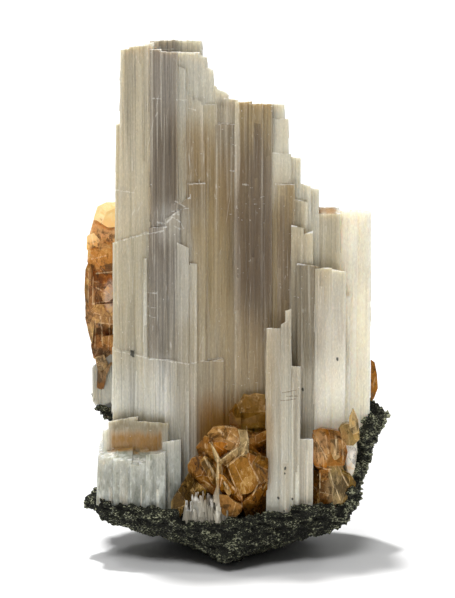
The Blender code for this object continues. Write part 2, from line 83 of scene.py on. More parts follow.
SLAB_COLUMNS = (
    # the crest at the left
    Column(-18.7, -12.9, -6.4, 5.0, 92.2, 1.3, "tan", fall=0.25, lean=1.5),
    Column(-19.6, -17.4, -6.1, 3.5, 78.5, 0.3, "tan", fall=0.25, lean=1.0),
    Column(-13.6, -9.2, -3.6, 6.4, 92.9, 0.2, "stone", fall=0.12),
    Column(-9.7, -4.6, -3.4, 6.0, 92.9, -0.2, "pale", fall=0.12),
    Column(-13.6, -11.6, -6.9, 0.0, 91.7, 0, "smoky"),
    Column(-11.9, -8.8, -6.7, 0.5, 91.2, -0.2, "smoky"),
    Column(-9.1, -7.4, -5.9, 0.0, 88.9, -0.6, "pale"),
    Column(-8.9, -4.9, -5.45, 4.0, 91.0, -0.2, "pale"),
    Column(-5.3, -3.6, -5.35, 4.2, 90.3, -0.4, "pale"),
    Column(-4.0, -2.5, -5.25, 4.2, 88.2, -0.8, "pale"),
    Column(-3.4, -1.9, -5.2, 3.0, 85.3, -0.8, "pale"),
    # the terrace in front of the crest
    Column(-9.3, -7.0, -5.7, -1.0, 83.9, 0.5, "olive", "sand"),
    Column(-7.3, -6.1, -5.65, -1.0, 83.6, -0.3, "olive", "sand"),
    Column(-6.3, -4.6, -5.75, -1.0, 82.7, -0.5, "olive", "sand"),
    Column(-4.9, -1.8, -5.7, -1.0, 81.8, 0.3, "olive", "sand"),
    Column(-2.3, 0.2, -5.3, 4.2, 84.2, -1.2, "pale"),
    Column(-0.6, 1.9, -5.6, 4.4, 82.8, -0.5, "pale"),
    Column(-2.1, 1.6, -5.8, -1.0, 78.3, 0.2, "olive", "wood"),
    # the middle bank
    Column(1.3, 2.2, -7.0, 4.0, 82.4, 0.2, "brown", "sand"),
    Column(2.0, 4.3, -7.1, 4.0, 82.4, 0.2, "brown", "olive"),
    Column(3.8, 6.2, -7.5, 3.4, 82.2, 0, "dusk", "olive"),
    Column(5.9, 7.8, -7.3, 3.0, 82.1, -0.2, "dusk", "olive"),
    Column(7.1, 10.0, -6.5, 4.0, 82.0, 0, "pale"),
    Column(7.5, 10.7, -6.7, 3.2, 79.4, -0.1, "pale"),
    # the stairs down to the right
    Column(7.7, 11.2, -6.9, 3.0, 73.3, -0.3, "olive", "pale"),
    Column(10.6, 12.9, -6.1, 3.2, 72.5, -0.3, "pale"),
    Column(8.9, 11.8, -7.2, 0.0, 67.8, 0.1, "brown", "olive"),
    Column(11.5, 14.2, -6.6, 0.0, 64.9, -0.8, "tan"),
    Column(12.6, 14.7, -5.9, 3.6, 67.6, -0.4, "pale"),
    Column(14.3, 16.2, -5.3, 3.4, 66.9, -0.4, "pale"),
    # the right bank, the first of its columns broken off flat
    Column(15.8, 20.0, -5.0, 2.0, 62.3, 0.0, "sand", fall=-0.03),
    Column(19.6, 23.1, -3.5, 5.0, 62.6, 0.1, "bright", fall=0.12),
    Column(22.6, 25.6, -3.0, 5.5, 62.4, -0.3, "bright", fall=0.12),
    Column(11.3, 13.4, -7.7, 0.0, 60.4, -0.6, "wood", "tan"),
    Column(13.1, 15.1, -7.5, 0.0, 59.2, 0.8, "wood", "tan"),
    Column(12.4, 16.2, -8.1, 0.0, 53.6, -0.6, "wood", "wood"),
    Column(15.5, 18.4, -8.7, -1.0, 53.1, 0.3, "milky", "tan"),
    Column(18.0, 20.9, -8.5, -1.0, 52.8, -0.4, "milky", "pale"),
    Column(20.6, 21.9, -5.2, 0.0, 47.5, -0.4, "milky", "bright"),
    # sheets that end part-way up the front
    Column(-20.3, -16.9, -6.65, -3.0, 57.8, 0.8, "sand"),
    Column(-17.3, -13.5, -6.7, -3.0, 59.0, 1.0, "sand"),
    Column(-13.9, -10.7, -7.2, -3.0, 60.2, 0.4, "smoky"),
    Column(-11.0, -8.5, -7.0, -3.0, 62.4, 1.6, "smoky", "wood"),
    Column(-8.8, -6.5, -6.25, -3.0, 65.2, 1.6, "olive", "wood"),
    Column(-6.8, -3.9, -6.15, -3.0, 67.9, 0.2, "olive", "wood"),
    Column(-8.9, -6.9, -7.12, -3.0, 57.0, -0.9, "veil", "veil"),
    Column(-7.1, -5.4, -6.7, -3.0, 53.6, -0.3, "veil", "veil"),
    Column(-14.9, -14.3, -7.25, -3.0, 54.6, 0.0, "frosty", "sand"),
    Column(-20.5, -17.0, -6.85, 0.0, 38.1, -0.7, "frosty", "sand"),
    Column(-17.3, -14.0, -6.95, 0.0, 37.2, -0.7, "frosty", "sand"),
    Column(-14.4, -9.0, -7.35, 0.0, 36.4, -0.4, "frosty", "veil"),
    Column(-9.3, -6.8, -7.25, 0.0, 35.8, -0.5, "veil", "veil"),
    Column(-7.1, -0.7, -6.35, 0.0, 35.9, 0.9, "wood", "wood"),
    # the broad foot of the slab, with the toe block in front of it
    Column(-21.2, -16.0, -9.0, 0.0, 26.0, 0.9, "veil", "veil"),
    Column(-22.3, -17.6, -9.0, 0.0, 24.2, 0.6, "frosty", foot=10.0),
    Column(-16.4, -10.6, -9.2, 0.0, 25.4, -0.5, "veil", "veil"),
    Column(-23.0, -19.5, -12.4, -3.0, 19.6, 0.9, "glassy", fall=-0.16, lean=0.3, foot=11.4),
    Column(-20.2, -16.9, -13.3, -3.0, 19.4, 0.2, "glassy", fall=-0.30, foot=10.6),
    Column(-17.2, -14.0, -13.9, -3.0, 19.0, -0.3, "glassy", fall=-0.34, foot=9.8),
    Column(-14.4, -11.0, -14.3, -3.0, 20.8, 0.5, "glassy", fall=0.1, foot=9.2),
    Column(-11.5, -8.3, -12.2, -3.0, 22.7, 0.6, "glassy", foot=8.0),
    # the pale blade that stands out in front
    Column(6.9, 9.9, -14.6, -7.0, 43.4, -0.1, "blade", "veil"),
    Column(9.4, 11.1, -15.0, -8.0, 44.6, 0.9, "blade", "veil", fall=0.3),
    Column(10.2, 11.1, -14.8, -11.5, 46.7, 0.2, "blade", "veil"),
    Column(10.8, 12.8, -14.6, -7.0, 36.6, -0.2, "veil"),
    Column(12.4, 15.1, -14.0, -7.0, 23.4, 0.2, "veil"),
    Column(9.8, 10.9, -15.2, -12.0, 19.4, 0.0, "veil"),
    # the back of the slab
    Column(-17.6, -11.0, 2.0, 8.6, 66.0, 1.0, "tan"),
    Column(-11.6, -5.0, 3.0, 11.0, 58.0, -1.5, "tan"),
    Column(-5.6, 1.0, 2.5, 12.0, 61.5, 0.5, "olive"),
    Column(0.4, 7.0, 2.5, 11.2, 51.0, 0.8, "olive"),
    Column(6.4, 12.5, 2.0, 10.4, 54.0, -1.0, "pale"),
    Column(11.9, 18.0, 1.5, 9.6, 45.0, 0.5, "pale"),
    Column(17.4, 23.4, 2.0, 9.0, 39.5, -0.8, "bright"),
    Column(-12.5, -6.0, 8.0, 14.4, 38.5, 0.5, "frosty"),
    Column(-6.6, -0.4, 9.0, 15.4, 34.0, -0.8, "frosty"),
    Column(-0.9, 5.6, 8.0, 14.2, 37.0, 0.6, "frosty"),
    Column(5.0, 11.2, 8.0, 13.6, 30.0, 0.5, "frosty"),
    Column(10.6, 16.8, 7.0, 12.4, 31.5, -0.8, "frosty"),
    Column(-20.4, -12.0, 4.0, 13.6, 35.0, 1.0, "frosty", foot=14.0),
    Column(-24.8, -22.6, 7.7, 13.0, 32.6, 1.5, "ash", fall=0.1, foot=25.0),
    Column(-23.0, -19.6, 7.6, 13.4, 34.4, -1.5, "ash", fall=0.1, foot=23.0),
)

TUFT_COLUMNS = (
    Column(-7.4, -5.8, -15.6, -12.5, 10.8, -0.5, "ash", fall=0.1, lean=0.2, foot=6.0),
    Column(-6.0, -4.2, -15.6, -12.0, 12.4, 0.3, "ash", fall=0.1, foot=6.0),
    Column(-4.4, -2.7, -15.8, -12.5, 11.6, -0.3, "ash", fall=0.1, foot=6.0),
    Column(-1.9, -1.5, -16.7, -13.5, 16.6, 0.2, "veil", fall=0.1, foot=6.0),
    Column(-1.4, 0.3, -15.8, -13.0, 10.4, -0.6, "ash", fall=0.1, foot=6.0),
)

# the shades that the crystals come in, from clear and dark to milky
SHADES = {
    "tan": (0.55, 0.475, 0.325),
    "sand": (0.51, 0.45, 0.317),
    "stone": (0.40, 0.36, 0.28),
    "smoky": (0.186, 0.147, 0.102),
    "pale": (0.60, 0.56, 0.44),
    "olive": (0.340, 0.252, 0.124),
    "brown": (0.190, 0.133, 0.068),
    "dusk": (0.168, 0.119, 0.068),
    "wood": (0.26, 0.215, 0.140),
    "milky": (0.68, 0.625, 0.51),
    "bright": (0.95, 0.86, 0.69),
    "frosty": (0.69, 0.66, 0.545),
    "veil": (0.47, 0.425, 0.33),
    "blade": (0.545, 0.525, 0.440),
    "glassy": (0.23, 0.24, 0.20),
    "ash": (0.33, 0.30, 0.235),
}

# soft changes of tone over the slab: colour, how strong, its sides, its lowest and highest place, and how
# soft its ends are
Tint = namedtuple("Tint", "colour strength left right low high soft")

SLAB_TINTS = {
    "milky foot": Tint((0.72, 0.71, 0.62), 0.55, -26.0, -7.0, 15.0, 34.0, 7.0),
    "warm heart": Tint((0.39, 0.295, 0.163), 0.85, -5.0, 9.0, 20.0, 43.0, 8.0),
    "grey under the step": Tint((0.46, 0.40, 0.28), 0.60, -12.0, -1.0, 30.0, 50.0, 9.0),
    "clouded bank": Tint((0.97, 0.92, 0.77), 0.85, 15.5, 22.5, 14.0, 35.0, 6.0),
    "frosted step": Tint((0.74, 0.71, 0.63), 0.30, -12.6, -6.6, 57.5, 64.0, 2.2),
    "pale top of the smoky band": Tint((0.375, 0.34, 0.29), 0.55, -13.5, -9.0, 80.0, 93.0, 5.0),
    "silver foot of the smoky band": Tint((0.29, 0.275, 0.245), 0.50, -13.6, -9.0, 37.0, 56.0, 6.0),
    "pale left bank": Tint((0.68, 0.62, 0.49), 0.25, -19.0, -14.4, 60.0, 92.0, 4.0),
    "pale tongue": Tint((0.66, 0.64, 0.56), 0.35, -9.0, -5.2, 43.0, 57.6, 2.4),
    "smoke behind the crest": Tint((0.43, 0.41, 0.35), 0.40, -9.4, -4.0, 79.5, 91.0, 3.0),
    "tan above the seam": Tint((0.30, 0.225, 0.135), 0.60, -1.9, 1.3, 77.2, 82.6, 0.9),
    "dark heart": Tint((0.102, 0.063, 0.030), 0.58, 0.5, 7.5, 47.0, 63.0, 5.0),
    "brown seam": Tint((0.150, 0.078, 0.020), 0.72, -1.2, 1.4, 61.0, 75.0, 4.0),
    "olive pane above": Tint((0.252, 0.166, 0.064), 0.72, -8.8, -2.2, 64.0, 78.5, 4.0),
    # painted light: a pale tint that lifts the corner lying in the pale blade's shadow
    "light painted into the blade shadow": Tint((0.80, 0.75, 0.62), 0.22, 12.7, 15.6, 21.0, 34.0, 3.4),
    "brown stair": Tint((0.20, 0.138, 0.070), 0.35, 8.9, 12.0, 53.0, 66.0, 4.0),
    "tan side of the milky column": Tint((0.50, 0.42, 0.30), 0.55, 15.2, 17.0, 37.0, 53.0, 2.6),
    "olive pane": Tint((0.36, 0.265, 0.125), 0.60, -5.0, -1.5, 42.0, 60.0, 5.0),
    "white silk": Tint((0.84, 0.83, 0.78), 0.50, -12.8, -10.0, 25.0, 36.0, 2.6),
    "grey silk": Tint((0.34, 0.30, 0.235), 0.25, -9.8, -7.8, 22.0, 35.0, 2.6),
    "upper right bank": Tint((0.78, 0.70, 0.54), 0.22, 7.2, 10.0, 64.0, 80.0, 3.0),
}

# stains that lie over the streaks
SLAB_STAINS = {
    "amber haze": Tint((0.27, 0.125, 0.010), 0.92, -5.5, 6.8, 14.0, 28.5, 3.2),
    "brown broken top": Tint((0.42, 0.23, 0.085), 0.85, 16.2, 19.3, 62.2, 64.0, 0.12),
    "clear top of the toe": Tint((0.17, 0.185, 0.125), 0.70, -20.2, -13.6, 19.5, 20.9, 0.25),
}

# stains on the ledge behind the toe
LEDGE_STAINS = {
    "olive over the ledge": Tint((0.22, 0.165, 0.062), 0.82, -20.9, -10.6, 23.2, 25.9, 1.8),
    "amber tinted ledge": Tint((0.40, 0.210, 0.042), 0.96, -21.0, -11.8, 19.7, 23.4, 1.1),
}

# white lines across the slab, each from one point to another, as (x, z): a few cracks, and painted highlights
# along the top edges of ledges where light from above catches them
CRACKS_AND_LIT_LEDGES = (
    ((-13.0, 91.6), (-11.8, 91.6)), ((-11.8, 91.2), (-8.8, 91.3)), ((-13.1, 82.9), (-11.8, 82.9)),
    ((-8.9, 82.7), (-6.9, 82.5)), ((-6.9, 81.1), (-5.7, 80.8)), ((-7.0, 67.7), (-4.1, 67.8)),
    ((-1.7, 78.4), (0.1, 78.3)), ((0.4, 70.0), (1.1, 70.0)), ((8.4, 67.8), (11.5, 67.8)),
    ((2.7, 67.7), (3.6, 67.7)), ((-19.7, 66.6), (-16.5, 66.2)), ((-20.0, 57.5), (-14.2, 58.9)),
    ((-14.2, 58.9), (-11.2, 59.5)), ((-12.4, 61.0), (-11.0, 60.7)), ((-11.0, 60.7), (-9.7, 62.0)),
    ((-9.7, 62.0), (-8.4, 61.0)), ((-8.4, 61.0), (-7.8, 59.8)), ((-9.5, 60.4), (-8.1, 59.6)),
    ((-9.8, 62.9), (-7.0, 63.4)), ((-9.2, 64.7), (-7.6, 63.7)), ((-14.4, 48.4), (-12.7, 48.3)),
    ((-14.4, 45.9), (-12.8, 45.7)), ((-14.5, 44.4), (-12.8, 43.9)),
    ((-20.0, 37.8), (-14.9, 36.7)), ((-14.9, 36.7), (-7.0, 35.5)), ((-7.0, 35.5), (-1.0, 36.3)),
)

# fine dark scratches across the pale blade
SCRATCHES = (((9.6, 31.9), (12.1, 32.3)), ((10.4, 31.3), (12.3, 31.2)), ((9.4, 30.5), (11.9, 30.7)))

# dark specks: where each is, and its size
SPECKS = ((-16.9, 37.3, 0.9), (13.4, 31.0, 0.45), (19.5, 36.7, 0.5), (10.2, 18.3, 0.4), (10.1, 17.4, 0.35),
          (9.0, 12.8, 0.4), (10.0, 10.6, 0.35), (11.5, 12.6, 0.35))

# the amber crystals: shade, front, depth, how the front leans to the right and up, and the outline as seen
# from the front, each point as (x, z)
Shard = namedtuple("Shard", "shade front depth lean outline")

AMBER_SHARDS = {
    "amber_cluster_front": (
        Shard("smoked", -10.8, 3, (0.1, 0.25), ((1.5, 28.2), (2.9, 30.7), (3.8, 30.3), (4.9, 30.7),
              (7.1, 30.4), (7.1, 23.1), (3.6, 22.9), (2.2, 24), (1.7, 25.6))),
        Shard("umber", -11.6, 2.6, (-0.5, 0.3), ((0.4, 27.5), (1.5, 29.1), (2.2, 27.6), (2.4, 24.7),
              (0.4, 24.4))),
        Shard("cognac", -12.9, 3.7, (0.35, -0.2), ((3.1, 24.5), (5.1, 23.8), (7.1, 24.7), (7.1, 18.7),
              (5.2, 19.6), (3.5, 20.9))),
        Shard("blush", -13.8, 3.6, (-0.15, 0.55), ((-3.6, 24), (-2.6, 25), (-0.8, 25.3), (1.5, 25.1),
              (2.4, 24.5), (2.2, 22.1), (1, 21.1), (-1.1, 22.3), (-2.7, 22.7))),
        Shard("cognac", -13.9, 4.2, (-0.55, 0.25), ((-5.6, 21.4), (-4, 23.6), (-2.6, 23.3), (-2, 21.4),
              (-1.5, 20), (-1.9, 18.2), (-3.6, 19.4), (-4.9, 20))),
        Shard("orange", -14.6, 4.2, (0.15, -0.35), ((-2.4, 22.9), (-1, 23), (1.5, 22), (0.6, 20.5),
              (-1.5, 19.4), (-2.4, 21.1))),
        Shard("rust", -14.2, 4.2, (-0.45, -0.25), ((-7.1, 18.4), (-6.3, 19.9), (-4.5, 20.4), (-3.3, 18.1),
              (-1.9, 15.2), (-2, 13.5), (-4.3, 13.9), (-6.1, 15.9), (-7, 17.2))),
        Shard("tea", -15.2, 3.6, (0.5, 0.1), ((-4.9, 19.7), (-4, 20.5), (-2.7, 19.6), (-1.5, 17.6),
              (-1.7, 14.9), (-2.7, 15.6), (-3.8, 17.8))),
        Shard("honey", -16.1, 5.4, (0.22, -0.12), ((-0.1, 19.1), (1.1, 20.1), (2.9, 21.2), (4.3, 18.5),
              (5.7, 15.6), (4.5, 14), (2.7, 12.2), (1.9, 14), (0.8, 16.3))),
        Shard("tea", -15.6, 4.8, (-0.45, 0.15), ((3.3, 21.7), (5.2, 20.9), (7.1, 20.2), (7.1, 16.4),
              (5.7, 15), (4.3, 18))),
        Shard("rust", -15.4, 4.4, (-0.6, 0.1), ((-1.3, 18.3), (0.3, 19.1), (1.1, 16.4), (2.2, 13.6),
              (2.2, 12.7), (1, 14), (-0.1, 15.8))),
        Shard("orange", -15.6, 4, (-0.2, -0.45), ((-1.5, 17.7), (-0.6, 17.3), (1.5, 14.6), (2.6, 13.3),
              (2.6, 11.1), (1.5, 10.6), (0.1, 12), (-1.3, 14.6))),
        Shard("umber", -14.6, 4.2, (0.2, -0.5), ((2.2, 11.2), (2.7, 12.5), (4.5, 14), (5.9, 15.4),
              (7.1, 17.1), (7.1, 9.1), (4.3, 8.5), (2.6, 9.1))),
        Shard("cognac", -15.4, 3.6, (0.35, -0.5), ((2.6, 12.2), (4.5, 14), (5.9, 15.4), (6.3, 14),
              (5.2, 11.6), (3.5, 10), (2.4, 10.5))),
        Shard("cream", -15.5, 3, (0.25, 0.1), ((1.8, 25.2), (3.4, 25.1), (3.7, 23.3), (3.7, 21.1), (2.9, 21),
              (2.1, 22), (2.3, 23.8))),
        Shard("cream", -16.1, 3, (-0.1, -0.3), ((2.2, 22.5), (3.6, 21.8), (3.4, 21), (1.7, 20.3),
              (-0.3, 18.9), (-1.3, 19.2), (-1, 20.1), (0.6, 21.4))),
        Shard("cream", -15.7, 2.6, (-0.35, 0), ((-3, 22.9), (-2.2, 21.9), (-1.5, 20.4), (-0.8, 19.5),
              (-1.3, 18.6), (-2.2, 19.9))),
        Shard("cream", -16, 2.6, (0, 0), ((-1.9, 19.4), (-1.1, 19.2), (-1, 17.4), (-1.3, 14.7), (-2, 14.7),
              (-1.9, 17.2))),
        Shard("cream", -16.3, 2, (0.3, 0.2), ((-1.1, 17.1), (-0.1, 15.8), (0.6, 14.2), (0.3, 13.5),
              (-0.4, 14.6))),
        Shard("cream", -15.3, 2.6, (-0.4, 0), ((6.3, 19.4), (7.1, 20), (7.1, 16.1), (6.3, 14.3), (5.7, 15.2),
              (6.4, 17.2))),
        Shard("blush", -16.4, 3.4, (-0.1, -0.3), ((-1.5, 13.9), (0.1, 13.7), (1.1, 12.6), (2.4, 11.9),
              (2.4, 10.8), (1.3, 9.5), (-1.3, 9.5))),
        Shard("straw", -14.8, 2.4, (0.35, 0.1), ((-9.9, 12.4), (-6.8, 17.3), (-5.7, 16.8), (-5.6, 14.6),
              (-7.2, 11.3), (-8.9, 8.7), (-9.9, 8.9))),
        Shard("smoked", -14.5, 2.4, (-0.4, 0.1), ((-7.5, 12), (-5.6, 15.6), (-3.8, 14.3), (-4.2, 9.2),
              (-6.7, 8.5))),
        Shard("rust", -15, 3.6, (0, -0.1), ((-1, 19), (3, 21.4), (5.2, 20.4), (6.7, 18.4), (6.8, 12),
              (2.4, 10.6), (-0.8, 12))),
        Shard("cognac", -13.7, 3, (0, -0.1), ((-5.8, 17.6), (-3.4, 21.2), (-1.5, 23.4), (2, 24), (4, 22.4),
              (6.7, 19.8), (6.8, 12), (2.4, 10.6), (-1, 11.6), (-4.2, 14.2))),
    ),
    "amber_crystal_right": (
        Shard("cognac", -12.7, 4, (0.1, 0.35), ((15.1, 24.4), (16.4, 24.8), (18.3, 24.5), (20.1, 24.1),
              (21, 22.4), (20.8, 20.1), (20, 18.4), (17.8, 18.4), (16.8, 21.5))),
        Shard("orange", -13.2, 4.4, (-0.25, -0.2), ((15, 24.2), (16, 23.3), (17.1, 21.5), (17.9, 19.6),
              (17.5, 17.8), (16.1, 17.4), (15.1, 18.7))),
        Shard("cream", -13.6, 2.6, (0.2, 0), ((18.2, 23), (19.6, 23.2), (19.8, 19.9), (19, 19.2),
              (18.3, 21))),
        Shard("rust", -12.8, 4, (0.5, -0.1), ((19.6, 23.2), (20.8, 22.6), (21.2, 20.5), (20.7, 18.3),
              (19.6, 18.1), (19.6, 21))),
        Shard("umber", -12.4, 4, (-0.25, 0), ((15, 17.3), (16.5, 17), (16.6, 11.2), (15.2, 11.1))),
        Shard("cognac", -13, 4.2, (0.1, -0.3), ((16.3, 17.4), (18, 17.9), (18.5, 16), (17.8, 14.9),
              (16.5, 15))),
        Shard("umber", -12.9, 4.2, (0.1, 0.1), ((16.3, 15.2), (18.2, 15.6), (19, 13.9), (18.9, 11.4),
              (16.5, 11.2))),
        Shard("straw", -13.1, 4.2, (0.2, 0.2), ((17.6, 18.9), (20.1, 19.1), (20.8, 16.5), (21, 14),
              (20.4, 11.4), (18.8, 11.2), (18.6, 14.2), (18, 16.3))),
        Shard("smoked", -12.5, 4, (0.45, -0.2), ((20.2, 17.7), (21.8, 16.6), (22.8, 14.9), (22.7, 12.7),
              (21.4, 11.1), (20, 10.7), (20.4, 14))),
        Shard("straw", -11.2, 4, (0.2, 0.35), ((19.7, 24.5), (20.3, 25.3), (22.1, 25.2), (23.4, 23.9),
              (23.4, 22.6), (22.3, 21.7), (20.5, 21.9))),
        Shard("cream", -11.4, 2.4, (0.4, 0.1), ((21.6, 26.5), (22.3, 28.2), (23.1, 26.1), (23.4, 23.8),
              (22.3, 23.6), (21.7, 24.9))),
        Shard("pearl", -10.8, 3, (0.2, 0), ((20.9, 22.2), (22.9, 22.4), (23.1, 20.2), (22.5, 16.5),
              (21.8, 15.4), (20.9, 17.6))),
    ),
    "amber_sliver_right": (
        Shard("honey", 3.4, 4.2, (0.3, 0.1), ((26.1, 34.1), (26.8, 33.5), (27.2, 31.3), (27.4, 28.9),
              (26.7, 27), (26.1, 26.6))),
    ),
    "amber_mass_left": (
        Shard("lemon", 7, 8, (0.2, 0.4), ((-23.6, 61.7), (-22.2, 62.3), (-19.3, 62.3), (-19.4, 58.2),
              (-21.7, 58.2), (-23.5, 59.3), (-24.3, 59.5))),
        Shard("honey", 6.8, 8.4, (-0.3, 0.25), ((-25, 56.7), (-24.1, 59.9), (-22.4, 60), (-19.3, 58.9),
              (-19.4, 55.6), (-22.6, 55.6), (-25, 55.6))),
        Shard("lemon", 6.9, 8, (-0.45, -0.2), ((-25.5, 56.3), (-24.3, 56.9), (-23.2, 55.6), (-23.6, 54.1),
              (-25, 52.8), (-25.6, 54))),
        Shard("cream", 6.5, 3.4, (0.2, -0.2), ((-23.5, 55.1), (-22.3, 56.1), (-20.8, 55.9), (-20.3, 54.6),
              (-21.9, 53.4), (-23.2, 53.8))),
        Shard("orange", 6.8, 8.6, (0.1, -0.1), ((-25.4, 53.8), (-23.6, 54.5), (-19.4, 54.5), (-19.4, 49.4),
              (-22.3, 49.4), (-24.9, 50.3), (-25.5, 51.6))),
        Shard("smoked", 7.1, 8, (-0.6, 0), ((-25.9, 50), (-25.4, 51.5), (-24.3, 51.2), (-24.9, 48.2),
              (-25.3, 43.4), (-25.9, 41.1), (-26.1, 46.3))),
        Shard("rust", 6.7, 8.6, (-0.1, 0.3), ((-25.4, 49.4), (-23.4, 50.5), (-19.4, 50.5), (-19.4, 47.3),
              (-23.4, 47.5), (-24.2, 45.3), (-24, 42.3), (-25.3, 42))),
        Shard("cognac", 6.9, 8.6, (0.15, 0.1), ((-24.2, 48), (-19.4, 48.4), (-19.5, 42.9), (-22.7, 42.3),
              (-24, 43))),
        Shard("blush", 6.3, 3.4, (0.2, 0.2), ((-22.9, 45.9), (-21.6, 47.5), (-20.5, 47), (-20.5, 45.4),
              (-22, 44.3), (-22.7, 44.8))),
        Shard("tea", 7, 8.4, (0.1, -0.25), ((-25.9, 41.5), (-24, 43.8), (-19.5, 44), (-19.5, 37.6),
              (-22.6, 37.1), (-24.8, 36.9), (-25.6, 39.7))),
        Shard("straw", 6.8, 4, (-0.5, 0.1), ((-26, 43.4), (-24.9, 43.1), (-24.4, 39.9), (-24.8, 36.4),
              (-25.5, 39), (-25.9, 41.6))),
        Shard("rust", 7.3, 7.4, (0, 0.2), ((-24.8, 37.6), (-22.6, 38.1), (-22.1, 34.8), (-22.8, 33.7),
              (-24.5, 33.7), (-24.9, 35.9))),
        Shard("cognac", 7.2, 7.6, (0.3, -0.2), ((-23, 37.8), (-19.5, 38.2), (-19.5, 35.2), (-21.2, 32.9),
              (-22.6, 33.9))),
        Shard("straw", 6.9, 4, (0, -0.2), ((-24.2, 33.9), (-22.6, 34.4), (-21.7, 32.2), (-22.8, 30.7),
              (-23.7, 31.3))),
        Shard("umber", 7.1, 2, (-0.2, 0), ((-23.8, 31.3), (-22.8, 30.9), (-21.5, 32.9), (-21.1, 32.9),
              (-22.3, 30.3), (-23.4, 24.7), (-24.1, 26.2))),
        Shard("blush", 7.4, 6, (-0.05, 0), ((-25, 50), (-24.2, 58), (-19.4, 58), (-19.4, 38), (-21.6, 34.4),
              (-24, 36.4), (-25.1, 43))),
    ),
}

# painted highlights along bright broken edges in the amber crystals, each from one point to another, as (x,
# z), and half its width
EDGE_HIGHLIGHTS = (
    # along both sides of the pale seams
    ((1.9, 25.3), (2.2, 23.8), 0.13), ((2.2, 23.8), (1.5, 22.3), 0.14), ((3.4, 25.0), (3.5, 23.4), 0.11),
    ((3.5, 23.4), (3.0, 22.2), 0.12), ((1.6, 22.2), (-1.3, 19.9), 0.14), ((3.0, 21.4), (-0.5, 18.6), 0.13),
    ((-2.7, 22.7), (-1.6, 20.3), 0.16), ((-1.7, 20.0), (-1.6, 16.7), 0.20),
    ((-0.8, 18.4), (-1.3, 15.2), 0.10),
    # in the large crystals
    ((3.8, 19.6), (5.7, 15.7), 0.18), ((-0.4, 25.2), (1.5, 25.1), 0.10), ((-4.2, 20.6), (-2.0, 16.4), 0.26),
    ((-3.6, 19.8), (-1.9, 16.7), 0.10), ((0.1, 18.6), (1.9, 13.9), 0.10), ((-1.0, 16.9), (0.1, 15.0), 0.24),
    ((0.9, 15.1), (2.4, 13.2), 0.24), ((2.4, 13.2), (2.6, 11.2), 0.12), ((5.7, 15.8), (4.4, 13.6), 0.14),
    ((-1.5, 24.6), (-0.8, 24.0), 0.26), ((-3.8, 22.1), (-3.7, 21.7), 0.34),
    ((0.4, 24.6), (1.7, 23.6), 0.12),
    # in the right crystals
    ((16.3, 22.0), (17.6, 19.6), 0.12), ((19.2, 23.4), (19.0, 20.4), 0.22),
    ((16.4, 17.0), (16.4, 14.2), 0.12), ((17.4, 23.6), (17.9, 20.6), 0.10),
    ((20.3, 22.8), (20.5, 19.2), 0.12), ((15.4, 18.0), (18.4, 17.6), 0.14),
    ((18.0, 17.4), (18.9, 14.4), 0.16), ((19.7, 18.0), (21.4, 14.6), 0.14),
    ((19.0, 14.8), (20.0, 12.0), 0.14),
    # in the mass at the left
    ((-24.9, 60.4), (-23.2, 61.9), 0.20), ((-24.7, 52.2), (-22.2, 52.8), 0.16),
    ((-24.6, 43.9), (-21.4, 44.4), 0.22), ((-23.9, 46.9), (-22.0, 45.8), 0.16),
    ((-24.9, 58.0), (-24.4, 54.8), 0.16), ((-23.2, 41.6), (-22.9, 36.2), 0.16),
    ((-25.2, 50.4), (-25.5, 43.4), 0.13), ((-24.5, 48.8), (-24.6, 43.8), 0.10),
    ((-24.1, 41.0), (-24.3, 35.6), 0.12), ((-21.5, 41.4), (-21.8, 35.4), 0.14),
    ((-23.4, 40.4), (-21.0, 40.0), 0.18), ((-23.9, 49.4), (-20.4, 49.8), 0.14),
)

# the shades that the amber crystals come in, and how milky each is
AMBER_SHADES = {
    "honey": ((0.48, 0.195, 0.017), 0.45),
    "cognac": ((0.46, 0.18, 0.022), 0.40),
    "orange": ((0.72, 0.26, 0.016), 0.45),
    "umber": ((0.24, 0.085, 0.006), 0.35),
    "rust": ((0.38, 0.125, 0.010), 0.40),
    "smoked": ((0.30, 0.165, 0.016), 0.35),
    "tea": ((0.45, 0.215, 0.032), 0.40),
    "straw": ((0.46, 0.32, 0.12), 0.45),
    "lemon": ((1.0, 0.74, 0.32), 0.90),
    "cream": ((0.64, 0.45, 0.20), 0.50),
    "blush": ((0.55, 0.265, 0.070), 0.50),
    "pearl": ((1.0, 0.95, 0.85), 0.95),
}

# soft patches of tone in the amber crystals: colour, how strong, middle, how wide and how tall
Patch = namedtuple("Patch", "colour strength left height wide tall")

